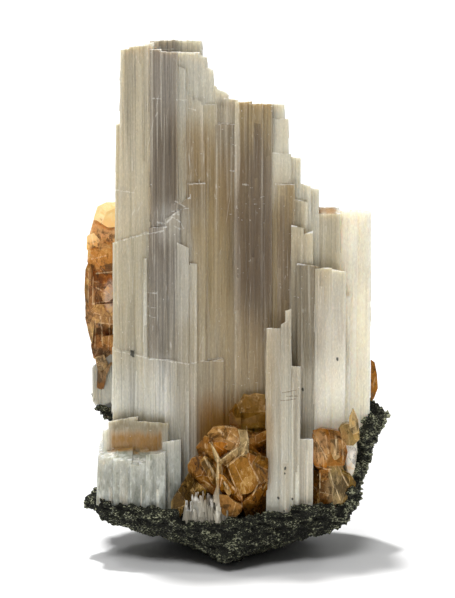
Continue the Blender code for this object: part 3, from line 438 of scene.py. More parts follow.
AMBER_TINTS = {
    "golden heart": Patch((0.42, 0.175, 0.012), 0.7, 1.4, 17.0, 3.2, 4.6),
    "brown flank": Patch((0.36, 0.155, 0.016), 0.5, -4.6, 18.2, 2.6, 4.0),
    "dark right side": Patch((0.28, 0.10, 0.006), 0.6, 6.2, 18.5, 1.7, 8.0),
    "olive crown": Patch((0.33, 0.155, 0.018), 0.9, 4.3, 28.0, 3.6, 3.4),
    "brown foot": Patch((0.22, 0.09, 0.010), 0.7, 4.6, 10.0, 3.0, 2.2),
    "smoky left foot": Patch((0.10, 0.046, 0.004), 0.9, -7.2, 12.4, 3.0, 5.0),
    "rosy shoulder": Patch((0.87, 0.53, 0.24), 0.8, 16.2, 21.5, 2.0, 3.4),
    "brown shoulder": Patch((0.62, 0.34, 0.12), 0.7, 19.6, 22.6, 2.0, 2.4),
    "dark base": Patch((0.13, 0.05, 0.006), 0.7, 16.4, 13.2, 1.5, 3.4),
    "sparkling base": Patch((0.50, 0.36, 0.18), 0.6, 19.4, 13.8, 2.2, 3.2),
    "yellow top": Patch((1.0, 0.78, 0.42), 0.8, -22.5, 61.0, 4.6, 2.6),
    "peach shoulder": Patch((0.95, 0.56, 0.24), 0.75, -22.8, 57.3, 4.6, 2.6),
    "orange body": Patch((0.60, 0.25, 0.045), 0.75, -22.8, 53.0, 4.6, 3.0),
    "dark belt": Patch((0.30, 0.095, 0.012), 0.75, -23.0, 48.8, 4.6, 2.0),
    "brown body": Patch((0.32, 0.145, 0.045), 0.70, -22.8, 44.8, 4.6, 3.0),
    "rosy body": Patch((0.44, 0.235, 0.10), 0.70, -22.8, 41.2, 4.6, 2.2),
    "brown belt": Patch((0.36, 0.19, 0.075), 0.50, -22.6, 37.0, 4.6, 2.6),
    "pearly inset": Patch((0.66, 0.50, 0.38), 0.85, -21.4, 45.2, 1.3, 3.2),
    "grey brown tip": Patch((0.32, 0.20, 0.10), 0.75, -22.8, 32.5, 3.6, 3.0),
}

# lumps of rock that stand up round the crystals: middle, and the radii across, deep and tall
LUMPS = (
    ((25.4, -3.0, 22.4), (1.5, 1.5, 3.4)), ((24.3, -4.0, 18.6), (1.6, 1.6, 3.6)),
    ((23.0, -6.6, 15.0), (1.4, 1.6, 2.2)),
    ((-21.8, -12.3, 10.6), (1.8, 0.9, 1.7)), ((-19.2, -13.6, 10.0), (2.0, 0.9, 1.9)),
    ((-16.7, -14.5, 9.9), (2.0, 0.9, 1.6)), ((-14.2, -15.2, 9.9), (1.9, 0.9, 1.8)),
    ((-11.9, -15.8, 10.0), (1.8, 0.9, 1.4)), ((-9.8, -15.6, 9.6), (1.6, 1.0, 1.6)),
    ((22.3, -12.0, 12.4), (1.7, 1.3, 2.1)), ((3.0, -17.2, 8.9), (2.2, 1.0, 1.3)),
    ((8.0, -16.6, 9.4), (2.4, 1.0, 1.4)), ((13.5, -15.2, 10.6), (2.4, 1.0, 1.2)),
)

# the studio lights: name, where the light comes from, strength and how wide it is in degrees
LIGHTS = (
    ("overhead", (-0.10, 0.22, 1.0), 2.6, 6.0),
    ("left_high", (-0.40, 0.10, 1.0), 0.35, 12.0),
    ("back_right", (0.7, 0.6, 1.0), 0.20, 20.0),
    ("front", (-0.15, -0.85, 1.0), 1.25, 20.0),
)


# ------------------------------------------------------------------ settings

class SlabSettings(bpy.types.PropertyGroup):
    """Sizes of the fibrous slab."""
    needle: bpy.props.FloatProperty(
        name="Needle width", description="Width of one crystal needle in a column",
        default=1.1 * MM, min=0.3 * MM, unit="LENGTH")
    setback: bpy.props.FloatProperty(
        name="Set back", description="How unevenly the needles' fronts stand",
        default=0.05 * MM, min=0.0, unit="LENGTH")
    ragged: bpy.props.FloatProperty(
        name="Ragged tops", description="How unevenly the needles end",
        default=0.22 * MM, min=0.0, unit="LENGTH")
    sliver_density: bpy.props.FloatProperty(
        name="Slivers", description="Slivers on each square metre of the faces", default=120000.0, min=0.0)
    sliver_length: bpy.props.FloatProperty(
        name="Sliver length", description="Length of the longest sliver", default=7.0 * MM, unit="LENGTH")
    fibres: bpy.props.FloatProperty(
        name="Tuft fibres", description="Fibres on each square metre of the tuft", default=1.5e6, min=0.0)
    fibre_length: bpy.props.FloatProperty(
        name="Fibre length", description="Length of the longest fibre", default=4.4 * MM, unit="LENGTH")
    fibre_radius: bpy.props.FloatProperty(
        name="Fibre radius", description="Radius at the foot of a fibre", default=0.29 * MM, unit="LENGTH")


class RockSettings(bpy.types.PropertyGroup):
    """Sizes and colours of the rock crust."""
    roughness: bpy.props.FloatProperty(
        name="Crumble", description="Height of the rock's crumbled surface",
        default=0.66 * MM, min=0.0, unit="LENGTH")
    detail: bpy.props.FloatProperty(
        name="Detail", description="Width of the crust's smallest faces", default=0.34 * MM, unit="LENGTH")
    grains: bpy.props.FloatProperty(
        name="Grains", description="Loose grains on each square metre of the crust", default=1.6e5, min=0.0)
    grain: bpy.props.FloatProperty(
        name="Grain size", description="Radius of one loose grain",
        default=0.17 * MM, min=0.05 * MM, unit="LENGTH")
    dark: bpy.props.FloatVectorProperty(
        name="Dark", description="Colour of the rock's body", subtype="COLOR", size=4,
        default=(0.008, 0.009, 0.005, 1.0))
    # the colour of the painted glints on a few grains
    light: bpy.props.FloatVectorProperty(
        name="Light", description="Colour of the rock's pale grains", subtype="COLOR", size=4,
        default=(0.46, 0.47, 0.35, 1.0))


class AmberSettings(bpy.types.PropertyGroup):
    """Finish of the amber crystals."""
    clarity: bpy.props.FloatProperty(
        name="Clarity", description="Share of the light that goes through",
        default=0.7, min=0.0, max=1.0, subtype="FACTOR")


class StageSettings(bpy.types.PropertyGroup):
    """The floor, the lights and the camera."""
    lens: bpy.props.FloatProperty(
        name="Lens", description="Focal length for a frame 36 mm tall", default=173.9, min=20.0)
    distance: bpy.props.FloatProperty(
        name="Distance", description="From the camera to the specimen", default=0.52, min=0.1, unit="LENGTH")
    elevation: bpy.props.FloatProperty(
        name="Elevation", description="Height of the view above level",
        default=math.radians(10.0), subtype="ANGLE", unit="ROTATION")


# ------------------------------------------------------------------ shader maths

class Value:
    """A socket in a tree of nodes, worked with as a Python value."""

    def __init__(self, maker, socket):
        self.maker, self.socket = maker, socket

    def math(self, operation, *others):
        """Adds a Math node, with this value first."""
        return self.maker.node("ShaderNodeMath", {"operation": operation}, dict(enumerate((self, *others))))

    def reflected(self, operation, other):
        """Adds a Math node, with this value last, so that 1 - mask works."""
        return self.maker.node("ShaderNodeMath", {"operation": operation}, {0: other, 1: self})

    __add__ = partialmethod(math, "ADD")
    __radd__ = partialmethod(reflected, "ADD")
    __sub__ = partialmethod(math, "SUBTRACT")
    __rsub__ = partialmethod(reflected, "SUBTRACT")
    __mul__ = partialmethod(math, "MULTIPLY")
    __rmul__ = partialmethod(reflected, "MULTIPLY")
    __truediv__ = partialmethod(math, "DIVIDE")
    __rtruediv__ = partialmethod(reflected, "DIVIDE")
    __pow__ = partialmethod(math, "POWER")

    def clamp(self):
        return self.maker.node("ShaderNodeClamp", {}, {"Value": self})


class NodeMaker:
    """Makes the nodes of one tree."""

    def __init__(self, tree):
        self.tree = tree

    def node(self, kind, settings, sockets, output=0):
        """Makes a node of this type, with its settings and then its sockets, and gives one output."""
        node = self.tree.nodes.new(kind)
        for name, value in settings.items():
            setattr(node, name, value)
        for key, value in sockets.items():
            self.feed(node.inputs[key], value)
        return node if output is None else Value(self, node.outputs[output])

    def feed(self, socket, value):
        if isinstance(value, Value):
            self.tree.links.new(value.socket, socket)
        else:
            socket.default_value = value


class MaterialMaker(NodeMaker):
    """Makes one material's nodes, with x, y and z in table millimetres."""

    def __init__(self, name):
        self.material = bpy.data.materials.new(name)
        self.material.use_nodes = True
        super().__init__(self.material.node_tree)
        self.shader = self.tree.nodes["Principled BSDF"]
        self.output = self.tree.nodes["Material Output"]
        where = self.node("ShaderNodeTexCoord", {}, {}, "Object")
        self.place = self.vector("ADD", self.scaled(where, 1.0 / MM), (*MIDDLE, 0.0))
        split = self.node("ShaderNodeSeparateXYZ", {}, {0: self.place}, None)
        self.x, self.y, self.z = (Value(self, socket) for socket in split.outputs)

    def vector(self, operation, first, second, output=0):
        return self.node("ShaderNodeVectorMath", {"operation": operation}, {0: first, 1: second}, output)

    def scaled(self, colour, share):
        """A colour made darker, or lighter above 1."""
        return self.node("ShaderNodeVectorMath", {"operation": "SCALE"}, {0: colour, "Scale": share})

    def mix(self, first, second, share):
        """Goes from the first colour to the second."""
        return self.node("ShaderNodeMix", {"data_type": "RGBA"},
                         {"Factor": share, 6: opaque(first), 7: opaque(second)}, 2)

    def shaded(self, colour, strength, share):
        """Goes from a colour to the same colour made darker, or lighter above 1."""
        return self.mix(colour, self.scaled(colour, strength), share)

    def ease(self, value, low, high):
        """0 below low and 1 above high, with a soft step between."""
        return self.node("ShaderNodeMapRange", {"interpolation_type": "SMOOTHSTEP"},
                         {"Value": value, "From Min": low, "From Max": high})

    def fall(self, value, low, high):
        """1 below low and 0 above high."""
        return self.node("ShaderNodeMapRange", {"interpolation_type": "SMOOTHSTEP"},
                         {"Value": value, "From Min": low, "From Max": high, "To Min": 1.0, "To Max": 0.0})

    def band(self, value, low, high, soft):
        """1 between low and high, with soft ends."""
        return self.ease(value, low - soft, low + soft) * self.fall(value, high - soft, high + soft)

    def pattern(self, kind, settings, stretch, offset, sockets, output):
        """A texture with this number of waves to the millimetre along each axis."""
        where = self.node("ShaderNodeMapping", {}, {
            "Vector": self.place, "Location": offset, "Scale": stretch})
        return self.node(kind, settings, {"Vector": where, "Scale": 1.0, **sockets}, output)

    def noise(self, stretch, detail=2.0, offset=(0.0, 0.0, 0.0), rough=0.55):
        sockets = {"Detail": detail, "Roughness": rough}
        return self.pattern("ShaderNodeTexNoise", {}, stretch, offset, sockets, "Fac")

    def cells(self, stretch, offset=(0.0, 0.0, 0.0), feature="F1", output="Distance"):
        """How far a place is from the middle of its cell."""
        return self.pattern("ShaderNodeTexVoronoi", {"feature": feature}, stretch, offset, {}, output)

    def cell_edges(self, stretch, offset=(0.0, 0.0, 0.0)):
        """How far a place is from the edge of its cell."""
        return self.cells(stretch, offset, "DISTANCE_TO_EDGE")

    def cell_colours(self, stretch, offset=(0.0, 0.0, 0.0)):
        """A colour for each cell, whose parts are three random numbers."""
        return self.cells(stretch, offset, output="Color")

    def fact(self, name):
        """A number that each face carries."""
        return self.node("ShaderNodeAttribute", {"attribute_name": name}, {}, "Fac")

    def split(self, colour, part="Red"):
        """One part of a colour, as a number."""
        return self.node("ShaderNodeSeparateColor", {}, {0: colour}, part)

    def shades(self, number, tones):
        """The tone that this number picks out of a list."""
        colour, *others = tones
        for place, tone in enumerate(others, 1):
            here = self.node("ShaderNodeMath", {"operation": "COMPARE"}, {0: number, 1: float(place), 2: 0.4})
            colour = self.mix(colour, tone, here)
        return colour

    @cached_property
    def flat(self):
        """The place without its depth."""
        return self.vector("MULTIPLY", self.place, (1.0, 0.0, 1.0))

    def from_line(self, start, end):
        """How far a place is from the line between two points, as seen from the front."""
        along = Vector((end[0] - start[0], 0.0, end[1] - start[1]))
        away = self.vector("SUBTRACT", self.flat, (start[0], 0.0, start[1]))
        share = self.vector("DOT_PRODUCT", away, along / along.length_squared, "Value").clamp()
        return self.vector("DISTANCE", away, self.scaled(along, share), "Value")

    def bump(self, height, distance, strength=1.0):
        return self.node("ShaderNodeBump", {}, {"Height": height, "Distance": distance, "Strength": strength},
                         "Normal")

    def set(self, sockets):
        """Sets the shader's own sockets."""
        for name, value in sockets.items():
            self.feed(self.shader.inputs[name], value)
        return self.material


def opaque(colour):
    """A colour with its alpha, or a socket as it is."""
    return colour if isinstance(colour, Value) or len(colour) == 4 else (*colour, 1.0)


# ------------------------------------------------------------------ mesh helpers

def new_piece(name, mesh):
    obj = bpy.data.objects.new(name, mesh)
    bpy.context.scene.collection.objects.link(obj)
    return obj


def mesh_of(name, bm):
    mesh = bpy.data.meshes.new(name)
    bm.to_mesh(mesh)
    bm.free()
    return mesh


def placed_mesh(name, bm):
    """A mesh in metres from a bmesh in table millimetres, with its faces turned outwards."""
    bmesh.ops.recalc_face_normals(bm, faces=bm.faces)
    bmesh.ops.translate(bm, vec=(-MIDDLE[0], -MIDDLE[1], 0.0), verts=bm.verts)
    bmesh.ops.scale(bm, vec=(MM, MM, MM), verts=bm.verts)
    return mesh_of(name, bm)


def solid_of(node):
    """A merged copy of a CAD node's mesh."""
    bm = bmesh.new()
    bm.from_mesh(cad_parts[node].data)
    bmesh.ops.remove_doubles(bm, verts=bm.verts, dist=WELD)
    return bm


def applied(obj):
    """Makes what the object's modifiers give its own mesh, and takes them off."""
    graph = bpy.context.evaluated_depsgraph_get()
    mesh = bpy.data.meshes.new_from_object(obj.evaluated_get(graph), preserve_all_data_layers=True,
                                           depsgraph=graph)
    obj.modifiers.clear()
    obj.data = mesh
    return obj


def modified(obj, kind, **settings):
    """Adds a modifier with these settings and applies it."""
    modifier = obj.modifiers.new(kind.lower(), kind)
    for name, value in settings.items():
        setattr(modifier, name, value)
    return applied(obj)


def fused(obj, others):
    """Joins the other objects to this one, as one solid."""
    if not others:
        return obj
    group = bpy.data.collections.new("operands")
    bpy.context.scene.collection.children.link(group)
    for other in others:
        bpy.context.scene.collection.objects.unlink(other)
        group.objects.link(other)
    modified(obj, "BOOLEAN", operation="UNION", operand_type="COLLECTION", collection=group,
             solver="MANIFOLD")
    for other in others:
        bpy.data.objects.remove(other)
    bpy.data.collections.remove(group)
    return obj


def finished(obj, nodes=(), material=None):
    """Gives a piece its material, unless it has it, rides it on the body and hides the CAD nodes that it
    stands for.
    """
    if material is not None:
        obj.data.materials.clear()
        obj.data.materials.append(material)
    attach(obj, BODY)
    if nodes:
        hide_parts(*nodes)
    return obj


# ------------------------------------------------------------------ the slab's shape

# a needle, in millimetres
CORNER = 0.05              # how far its corners are cut back
STRIATION = 0.42           # how wide one striation on its front is
STRIATION_DEPTH = 0.05
GROOVE = 0.02              # half the width of the groove between two striations
UNEVEN_BACK = 0.10
OVERLAP = 0.04             # how far it reaches into the next needle
SUNK = 0.6                 # how far its foot is sunk in the rock


def needle_outline(left, right, front, back, dice):
    """The cross-section of one needle, its front marked by fine striations."""
    width = right - left
    cut = min(CORNER, 0.2 * width)
    inner = width - 2 * cut
    points = [(left, front + cut * dice.uniform(0.8, 2.0))]
    ridges = max(1, round(width / STRIATION))
    for i in range(ridges):
        start = left + cut + inner * i / ridges
        end = left + cut + inner * (i + 1) / ridges
        depth = STRIATION_DEPTH * dice.random() ** 2
        points.append((start + GROOVE, front + depth))
        points.append((end - GROOVE, front + depth * dice.uniform(0.3, 1.2)))
    points.append((right, front + cut * dice.uniform(0.8, 2.0)))
    points.append((right, back - cut))
    steps = ridges // 2 + 1
    for i in reversed(range(steps)):
        points.append((left + cut + inner * (i + 0.5) / steps, back - dice.uniform(0.0, UNEVEN_BACK)))
    points.append((left, back - cut))
    return [Vector(point) for point in points]


def foot_finder():
    """A function that gives the height of the rock's upper surface at a point seen from above."""
    ground = BVHTree.FromBMesh(solid_of("matrix_rock"))

    def find(x, y, otherwise):
        start = Vector(((x - MIDDLE[0]) * MM, (y - MIDDLE[1]) * MM, 0.1))
        hit = ground.ray_cast(start, Vector((0, 0, -1)))[0]
        return otherwise if hit is None else hit.z / MM
    return find


# the shades that the splinters of a column may have, where it isn't the column's own alone
MIXED = {"glassy": ("glassy", "milky", "frosty", "veil"), "frosty": ("frosty", "milky", "veil"),
         "veil": ("veil", "frosty", "milky")}
# what each face of a needle carries: the numbers of its two shades, the height below which its own shade
# starts, its tone, and how near it is to the column's side
FACE_FACTS = ("shade", "behind", "top", "tone", "rim")
RIM = 0.7                  # how far from its sides a column is paler, in millimetres


def needle_solid(bm, column, cut, dice, foot_at, facts):
    """Adds one needle of a column, as a closed solid whose faces carry these facts."""
    left, right, front, back, top, tilt = cut
    outline = needle_outline(left, right, front, back, dice)
    middle = (column.left + column.right) / 2
    width = column.right - column.left
    centre, depth = (left + right) / 2, (front + back) / 2
    base = foot_at(centre, depth, foot_at(centre, front + 0.5, column.foot + SUNK))
    low, high = [], []
    for point in outline:
        share = (point.x - middle) / width
        spread = column.lean * max(0.0, -share) * 2.0
        height = top + tilt * (point.x - centre) - column.fall * (point.y - column.front)
        inner = point.lerp(Vector((centre, depth)), 0.12)
        bottom = foot_at(inner.x, inner.y, base) - SUNK
        low.append(bm.verts.new((point.x - spread, point.y, bottom)))
        high.append(bm.verts.new((point.x, point.y, height)))
    faces = [bm.faces.new(low), bm.faces.new(list(reversed(high)))]
    for i in range(len(outline)):
        j = (i + 1) % len(outline)
        faces.append(bm.faces.new((high[i], high[j], low[j], low[i])))
    for name, fact in zip(FACE_FACTS, facts):
        layer = bm.faces.layers.float[name]
        for face in faces:
            face[layer] = fact


def needles_of(column, settings, dice):
    """The narrow needles of a column: left, right, front, back, top and tilt of each."""
    width = column.right - column.left
    needle, setback, ragged = (value / MM for value in (settings.needle, settings.setback, settings.ragged))
    edges = [column.left]
    while column.right - edges[-1] > needle * 0.9:
        edges.append(min(column.right, edges[-1] + needle * (0.35 + 1.9 * dice.random() ** 1.5)))
    if edges[-1] < column.right:
        edges.append(column.right)
    middle = (column.left + column.right) / 2
    uneven = setback * (0.4 if column.shade == "glassy" else 1.0)
    for left, right in zip(edges, edges[1:]):
        centre = (left + right) / 2
        top = column.top + column.rise * (centre - middle) / width
        drop = ragged * dice.random() ** 2 * (3.0 if dice.random() < 0.12 else 0.6)
        front, back = column.front + uneven * dice.random() ** 1.5, column.back - setback * dice.random()
        tilt = column.rise / width + dice.uniform(-0.10, 0.10)
        yield left - OVERLAP, right + OVERLAP, front, back, top - drop, tilt


def splinters_of(column, dice):
    """Thin splinters, as needles, that end part-way up a column's front. Frosted columns have the most."""
    width = column.right - column.left
    tall = column.top - max(column.foot, ROCK_TOP)
    room, widest = (9.0, 0.7) if column.shade in ("veil", "frosty") else (45.0, 1.5)
    for _ in range(round(width * tall / room + dice.uniform(0, 1))):
        span = 0.2 + widest * dice.random() ** 2
        left = dice.uniform(column.left, max(column.left, column.right - span))
        proud = dice.uniform(0.02, 0.07)
        top = column.top - tall * dice.uniform(0.04, 0.85) ** 1.1
        yield left, left + span, column.front - proud, column.front + 1.2, top, dice.uniform(-0.5, 0.5)


def crystals(name, columns, settings, seed):
    """All the needles and splinters of these columns, fused into one solid with facts on each face."""
    foot_at = foot_finder()
    shades = list(SHADES)
    objects = []
    for number, column in enumerate(columns):
        dice = random.Random(seed + number)
        needles = list(needles_of(column, settings, dice))
        for place, cut in enumerate(needles + list(splinters_of(column, dice))):
            centre = (cut[0] + cut[1]) / 2
            nearest = min(centre - column.left, column.right - centre)
            own = (column.shade,)
            mixed = MIXED.get(column.shade, own) if place >= len(needles) else own
            # a splinter that ends well below the column's top isn't thin there, so its own shade shows
            top = column.top if cut[4] > column.top - 2.0 else cut[4] + 8.0
            facts = (shades.index(dice.choice(mixed)), shades.index(column.behind or column.shade), top,
                     dice.uniform(-1, 1), max(0.0, 1.0 - nearest / RIM))
            bm = bmesh.new()
            for fact in FACE_FACTS:
                bm.faces.layers.float.new(fact)
            needle_solid(bm, column, cut, dice, foot_at, facts)
            objects.append(new_piece(name, placed_mesh(name, bm)))
    return fused(objects[0], objects[1:])


# ------------------------------------------------------------------ the amber crystals' shape

# an amber crystal, in millimetres
SPREAD = 0.12              # how far its front reaches past its outline, so that neighbours meet
THICK = 5.0                # deeper ones are seen from behind too, and have facets there
STRIP = 0.16               # how wide the strip along a facet's edge is


def shard_solid(bm, shard, dice, shade):
    """Adds one amber crystal: a block of this outline, its leaning front broken into flat facets."""
    points = [Vector(point) for point in shard.outline]
    centre = sum(points, Vector((0.0, 0.0))) / len(points)
    lean = Vector(shard.lean)
    front, back = [], []
    for point in points:
        out = point - centre
        wide, drawn = point + out.normalized() * SPREAD, point.lerp(centre, 0.05 * shard.depth)
        front.append(bm.verts.new((wide.x, shard.front + lean.dot(out), wide.y)))
        back.append(bm.verts.new((drawn.x, shard.front + shard.depth + abs(lean.dot(out)), drawn.y)))
    bm.faces.new(front)
    bm.faces.new(list(reversed(back)))
    for i in range(len(points)):
        j = (i + 1) % len(points)
        bm.faces.new((front[j], front[i], back[i], back[j]))
    size = max((point - centre).length for point in points)
    # the first two cuts take broad, shallow facets, the others bevel the sides and then the back
    front_cuts = 3 + round(size)
    back_cuts = 6 if shard.depth > THICK else 0
    for number in range(front_cuts + back_cuts):
        behind = number >= front_cuts
        angle = dice.uniform(0.0, math.tau)
        out = Vector((math.cos(angle), math.sin(angle)))
        far = max(out.dot(point - centre) for point in points)
        if behind:
            slope, start = dice.uniform(0.5, 1.6), far * dice.uniform(-0.25, 0.35)
        elif number < 2:
            slope, start = dice.uniform(0.12, 0.38), far * dice.uniform(-0.15, 0.35)
        else:
            slope, start = dice.uniform(0.5, 1.3), far - dice.uniform(0.10, 0.20 + 0.10 * size)
        tilt = out * slope if behind else lean + out * slope
        at = centre + out * start
        depth = shard.front + (shard.depth * dice.uniform(0.75, 1.0) if behind else lean.dot(at - centre))
        cut = bmesh.ops.bisect_plane(
            bm, geom=bm.verts[:] + bm.edges[:] + bm.faces[:], dist=1e-5, clear_outer=True,
            plane_co=(at.x, depth, at.y), plane_no=(tilt.x, 1.0 if behind else -1.0, tilt.y))
        rim = [part for part in cut["geom_cut"] if isinstance(part, bmesh.types.BMEdge)]
        if rim:
            bmesh.ops.edgenet_fill(bm, edges=rim)
    whole = sum(face.calc_area() for face in bm.faces if face.normal.y < -0.3) or 1.0
    # narrow facets get a brighter tone: a painted highlight of edges that catch the light
    for face in bm.faces:
        narrow = face.calc_area() < 0.10 * whole
        face[bm.faces.layers.float["shade"]] = shade
        face[bm.faces.layers.float["tone"]] = dice.uniform(-0.4, 1.6) if narrow else dice.uniform(-1.0, 0.5)


def amber_crystals(name, shards, seed):
    """The crystals of one group, grown together, with a shade on each face."""
    shades = list(AMBER_SHADES)
    objects = []
    for number, shard in enumerate(shards):
        bm = bmesh.new()
        for fact in ("shade", "tone"):
            bm.faces.layers.float.new(fact)
        shard_solid(bm, shard, random.Random(seed + number), shades.index(shard.shade))
        objects.append(new_piece(name, placed_mesh(name, bm)))
    return rimmed(fused(objects[0], objects[1:]), STRIP * MM)


def rimmed(obj, width):
    """Lays a narrow strip inside each large facet, with a number that falls from 1 to 0 across it."""
    bm = bmesh.new()
    bm.from_mesh(obj.data)
    outer = set(bm.verts)
    large = [face for face in bm.faces if face.calc_area() > (6.0 * width) ** 2]
    strips = set(bmesh.ops.inset_individual(bm, faces=large, thickness=width, use_even_offset=False)["faces"])
    layer = bm.loops.layers.float.new("rim")
    for face in strips:
        for loop in face.loops:
            loop[layer] = 1.0 if loop.vert in outer else 0.0
    bm.to_mesh(obj.data)
    bm.free()
    return obj


# ------------------------------------------------------------------ materials

def crystal_material(name, depth=0.85):
    """Silky crystal. depth is how far light goes into it: none in the loose slivers, which are too thin."""
    make = MaterialMaker(name)
    x, z = make.x, make.z
    shade, behind, top, tone, rim = (make.fact(fact) for fact in FACE_FACTS)
    under = top - z
    # fine silk: streaks that run up the fibres
    broad = make.noise((0.40, 0.40, 0.014))
    fine = make.noise((1.5, 1.5, 0.022), 2.0, (7.0, 3.0, 1.0))
    hair = make.noise((3.6, 3.6, 0.036), 1.0, (1.0, 9.0, 4.0), 0.7)
    sway = fine - 0.5
    across = x + sway * 2.0
    own = make.ease(under + sway * 9.0, 0.0, 12.0)
    colour = make.mix(make.shades(behind, SHADES.values()), make.shades(shade, SHADES.values()), own)

    def tinted(colour, tints, where=1.0):
        for tint in tints.values():
            up = z + sway * min(3.0, tint.soft * 2.0)
            mask = make.band(across, tint.left, tint.right, tint.soft * 0.6) * make.band(
                up, tint.low, tint.high, tint.soft)
            colour = make.mix(colour, tint.colour, mask * (where * tint.strength))
        return colour

    colour = tinted(colour, SLAB_TINTS)
    # plates that show through one another, each with its own tone and a bright end
    plates, leaves = ((0.42, 0.42, 0.022),), ((1.05, 1.05, 0.045), (3.0, 6.0, 9.0))
    plate, leaf = (make.split(make.cell_colours(*kind)) - 0.5 for kind in (plates, leaves))
    plate_end = make.fall(make.cell_edges(*plates), 0.002, 0.006)
    leaf_end = make.fall(make.cell_edges(*leaves), 0.004, 0.012)
    streak = (broad - 0.5) * 1.15 + sway * 0.8 + (hair - 0.5) * 0.75 + (plate + leaf) * 0.16 + tone * 0.04
    toe = make.fall(z, 19.4, 21.4) * make.fall(x, -9.5, -7.5)
    calm = make.band(x, -1.6, 8.6, 0.8) * make.fall(z, 62.0, 72.0)
    smoky_band = make.band(x, -13.6, -8.9, 0.3)
    streak = streak * (smoky_band * 0.7 + 1.0) * (1.0 - (calm + toe).clamp() * 0.55)
    colour = make.mix(colour, make.mix(colour, (0.97, 0.92, 0.79), 0.5), make.ease(streak, 0.0, 0.55) * 0.75)
    colour = make.shaded(colour, 0.50, make.ease(0.0 - streak, 0.0, 0.55) * 0.80)
    ends = (plate_end * make.ease(fine, 0.45, 0.60) + leaf_end * make.ease(hair, 0.48, 0.60)).clamp()
    colour = make.mix(colour, (0.92, 0.89, 0.82), ends * 0.28)
    # painted light: the thin edges of the plates are made paler, where more light comes through them
    colour = make.mix(colour, (0.85, 0.82, 0.73), rim * 0.12)
    # painted highlight: the top of each column, where light from above catches it, is whitened in patches
    patchy = make.ease(make.noise((0.9, 0.9, 0.6), 2.0, (2.0, 2.0, 8.0)), 0.42, 0.62)
    colour = make.mix(colour, (0.98, 0.97, 0.93), make.fall(under, 0.05, 0.22) * patchy * 0.6)
    colour = tinted(colour, SLAB_STAINS, make.fall(make.y, -1.0, 3.0))
    colour = tinted(colour, LEDGE_STAINS, make.ease(make.y, -10.8, -9.8) * (patchy * 0.1 + 0.9))
    # the toe is cracked through: white frost over clear green
    frost = make.noise((0.60, 0.60, 0.26), 4.0, (6.0, 3.0, 9.0), 0.68)
    colour = make.mix(colour, (0.80, 0.82, 0.75), make.ease(frost, 0.48, 0.66) * toe * 0.46)
    colour = make.mix(colour, (0.13, 0.15, 0.105), make.fall(frost, 0.32, 0.47) * toe * 0.60)
    # painted glints: white sparkles on small chips, gathered in patches
    where = make.ease(make.noise((0.16, 0.16, 0.09), 3.0, (5.0, 1.0, 3.0), 0.7), 0.50, 0.66)
    chips, dashes = ((1.5, 1.5, 1.2), (3.0, 0.0, 5.0)), ((0.55, 0.55, 2.0), (8.0, 0.0, 2.0))
    chip_here = make.ease(make.split(make.cell_colours(*chips)) + where * 0.45, 0.93, 1.0)
    dash_here = make.ease(make.split(make.cell_colours(*dashes), "Green") + where * 0.35, 0.98, 1.03)
    white = make.fall(make.cells(*chips), 0.05, 0.24) * chip_here + make.fall(
        make.cells(*dashes), 0.05, 0.22) * dash_here
    white = white * make.ease(make.noise((5.0, 5.0, 3.5), 1.0, (9.0, 2.0, 6.0)), 0.42, 0.60)
    # white lines across the fibres: cracks, and painted highlights along the top edges of the ledges
    torn = make.noise((2.2, 2.2, 1.6), 2.0, (4.0, 4.0, 1.0))
    wave = (make.ease(torn, 0.3, 0.7) - 0.5) * 0.22
    cracked = sum(make.fall(make.from_line(start, end) + wave, 0.02, 0.15) for start, end in CRACKS_AND_LIT_LEDGES)
    white = (white + cracked * 0.6).clamp()
    colour = make.mix(colour, (0.94, 0.92, 0.86), white * 0.6)
    grain = make.noise((4.5, 4.5, 1.6), 1.0, (2.0, 6.0, 9.0), 0.8)
    colour = make.shaded(colour, 1.45, make.ease(grain, 0.50, 0.78) * 0.35)
    colour = make.shaded(colour, 0.68, make.fall(grain, 0.24, 0.50) * 0.30)
    rough = torn - 0.5
    for start, end in SCRATCHES:
        away = make.from_line(start, end) + rough * 0.25
        colour = make.mix(colour, (0.13, 0.09, 0.05), make.fall(away, 0.01, 0.12) * 0.7)
    for left, height, size in SPECKS:
        right, up = x - left, z - height
        away = (right * right + up * up * 0.5) ** 0.5 + rough * size
        colour = make.mix(colour, (0.03, 0.03, 0.02), make.fall(away, size * 0.35, size * 0.6) * 0.9)
    return make.set({
        "Base Color": colour, "Roughness": make.ease(fine, 0.2, 0.8) * 0.25 + 0.25,
        "Normal": make.bump(hair * 0.6 + fine + white * 0.5, 0.14 * MM, 0.8), "Subsurface Weight": depth,
        "Subsurface Radius": (1.0, 0.85, 0.65), "Subsurface Scale": 3.0 * MM, "IOR": 1.5,
        "Specular IOR Level": 0.3, "Coat Weight": 0.1, "Coat Roughness": 0.2})


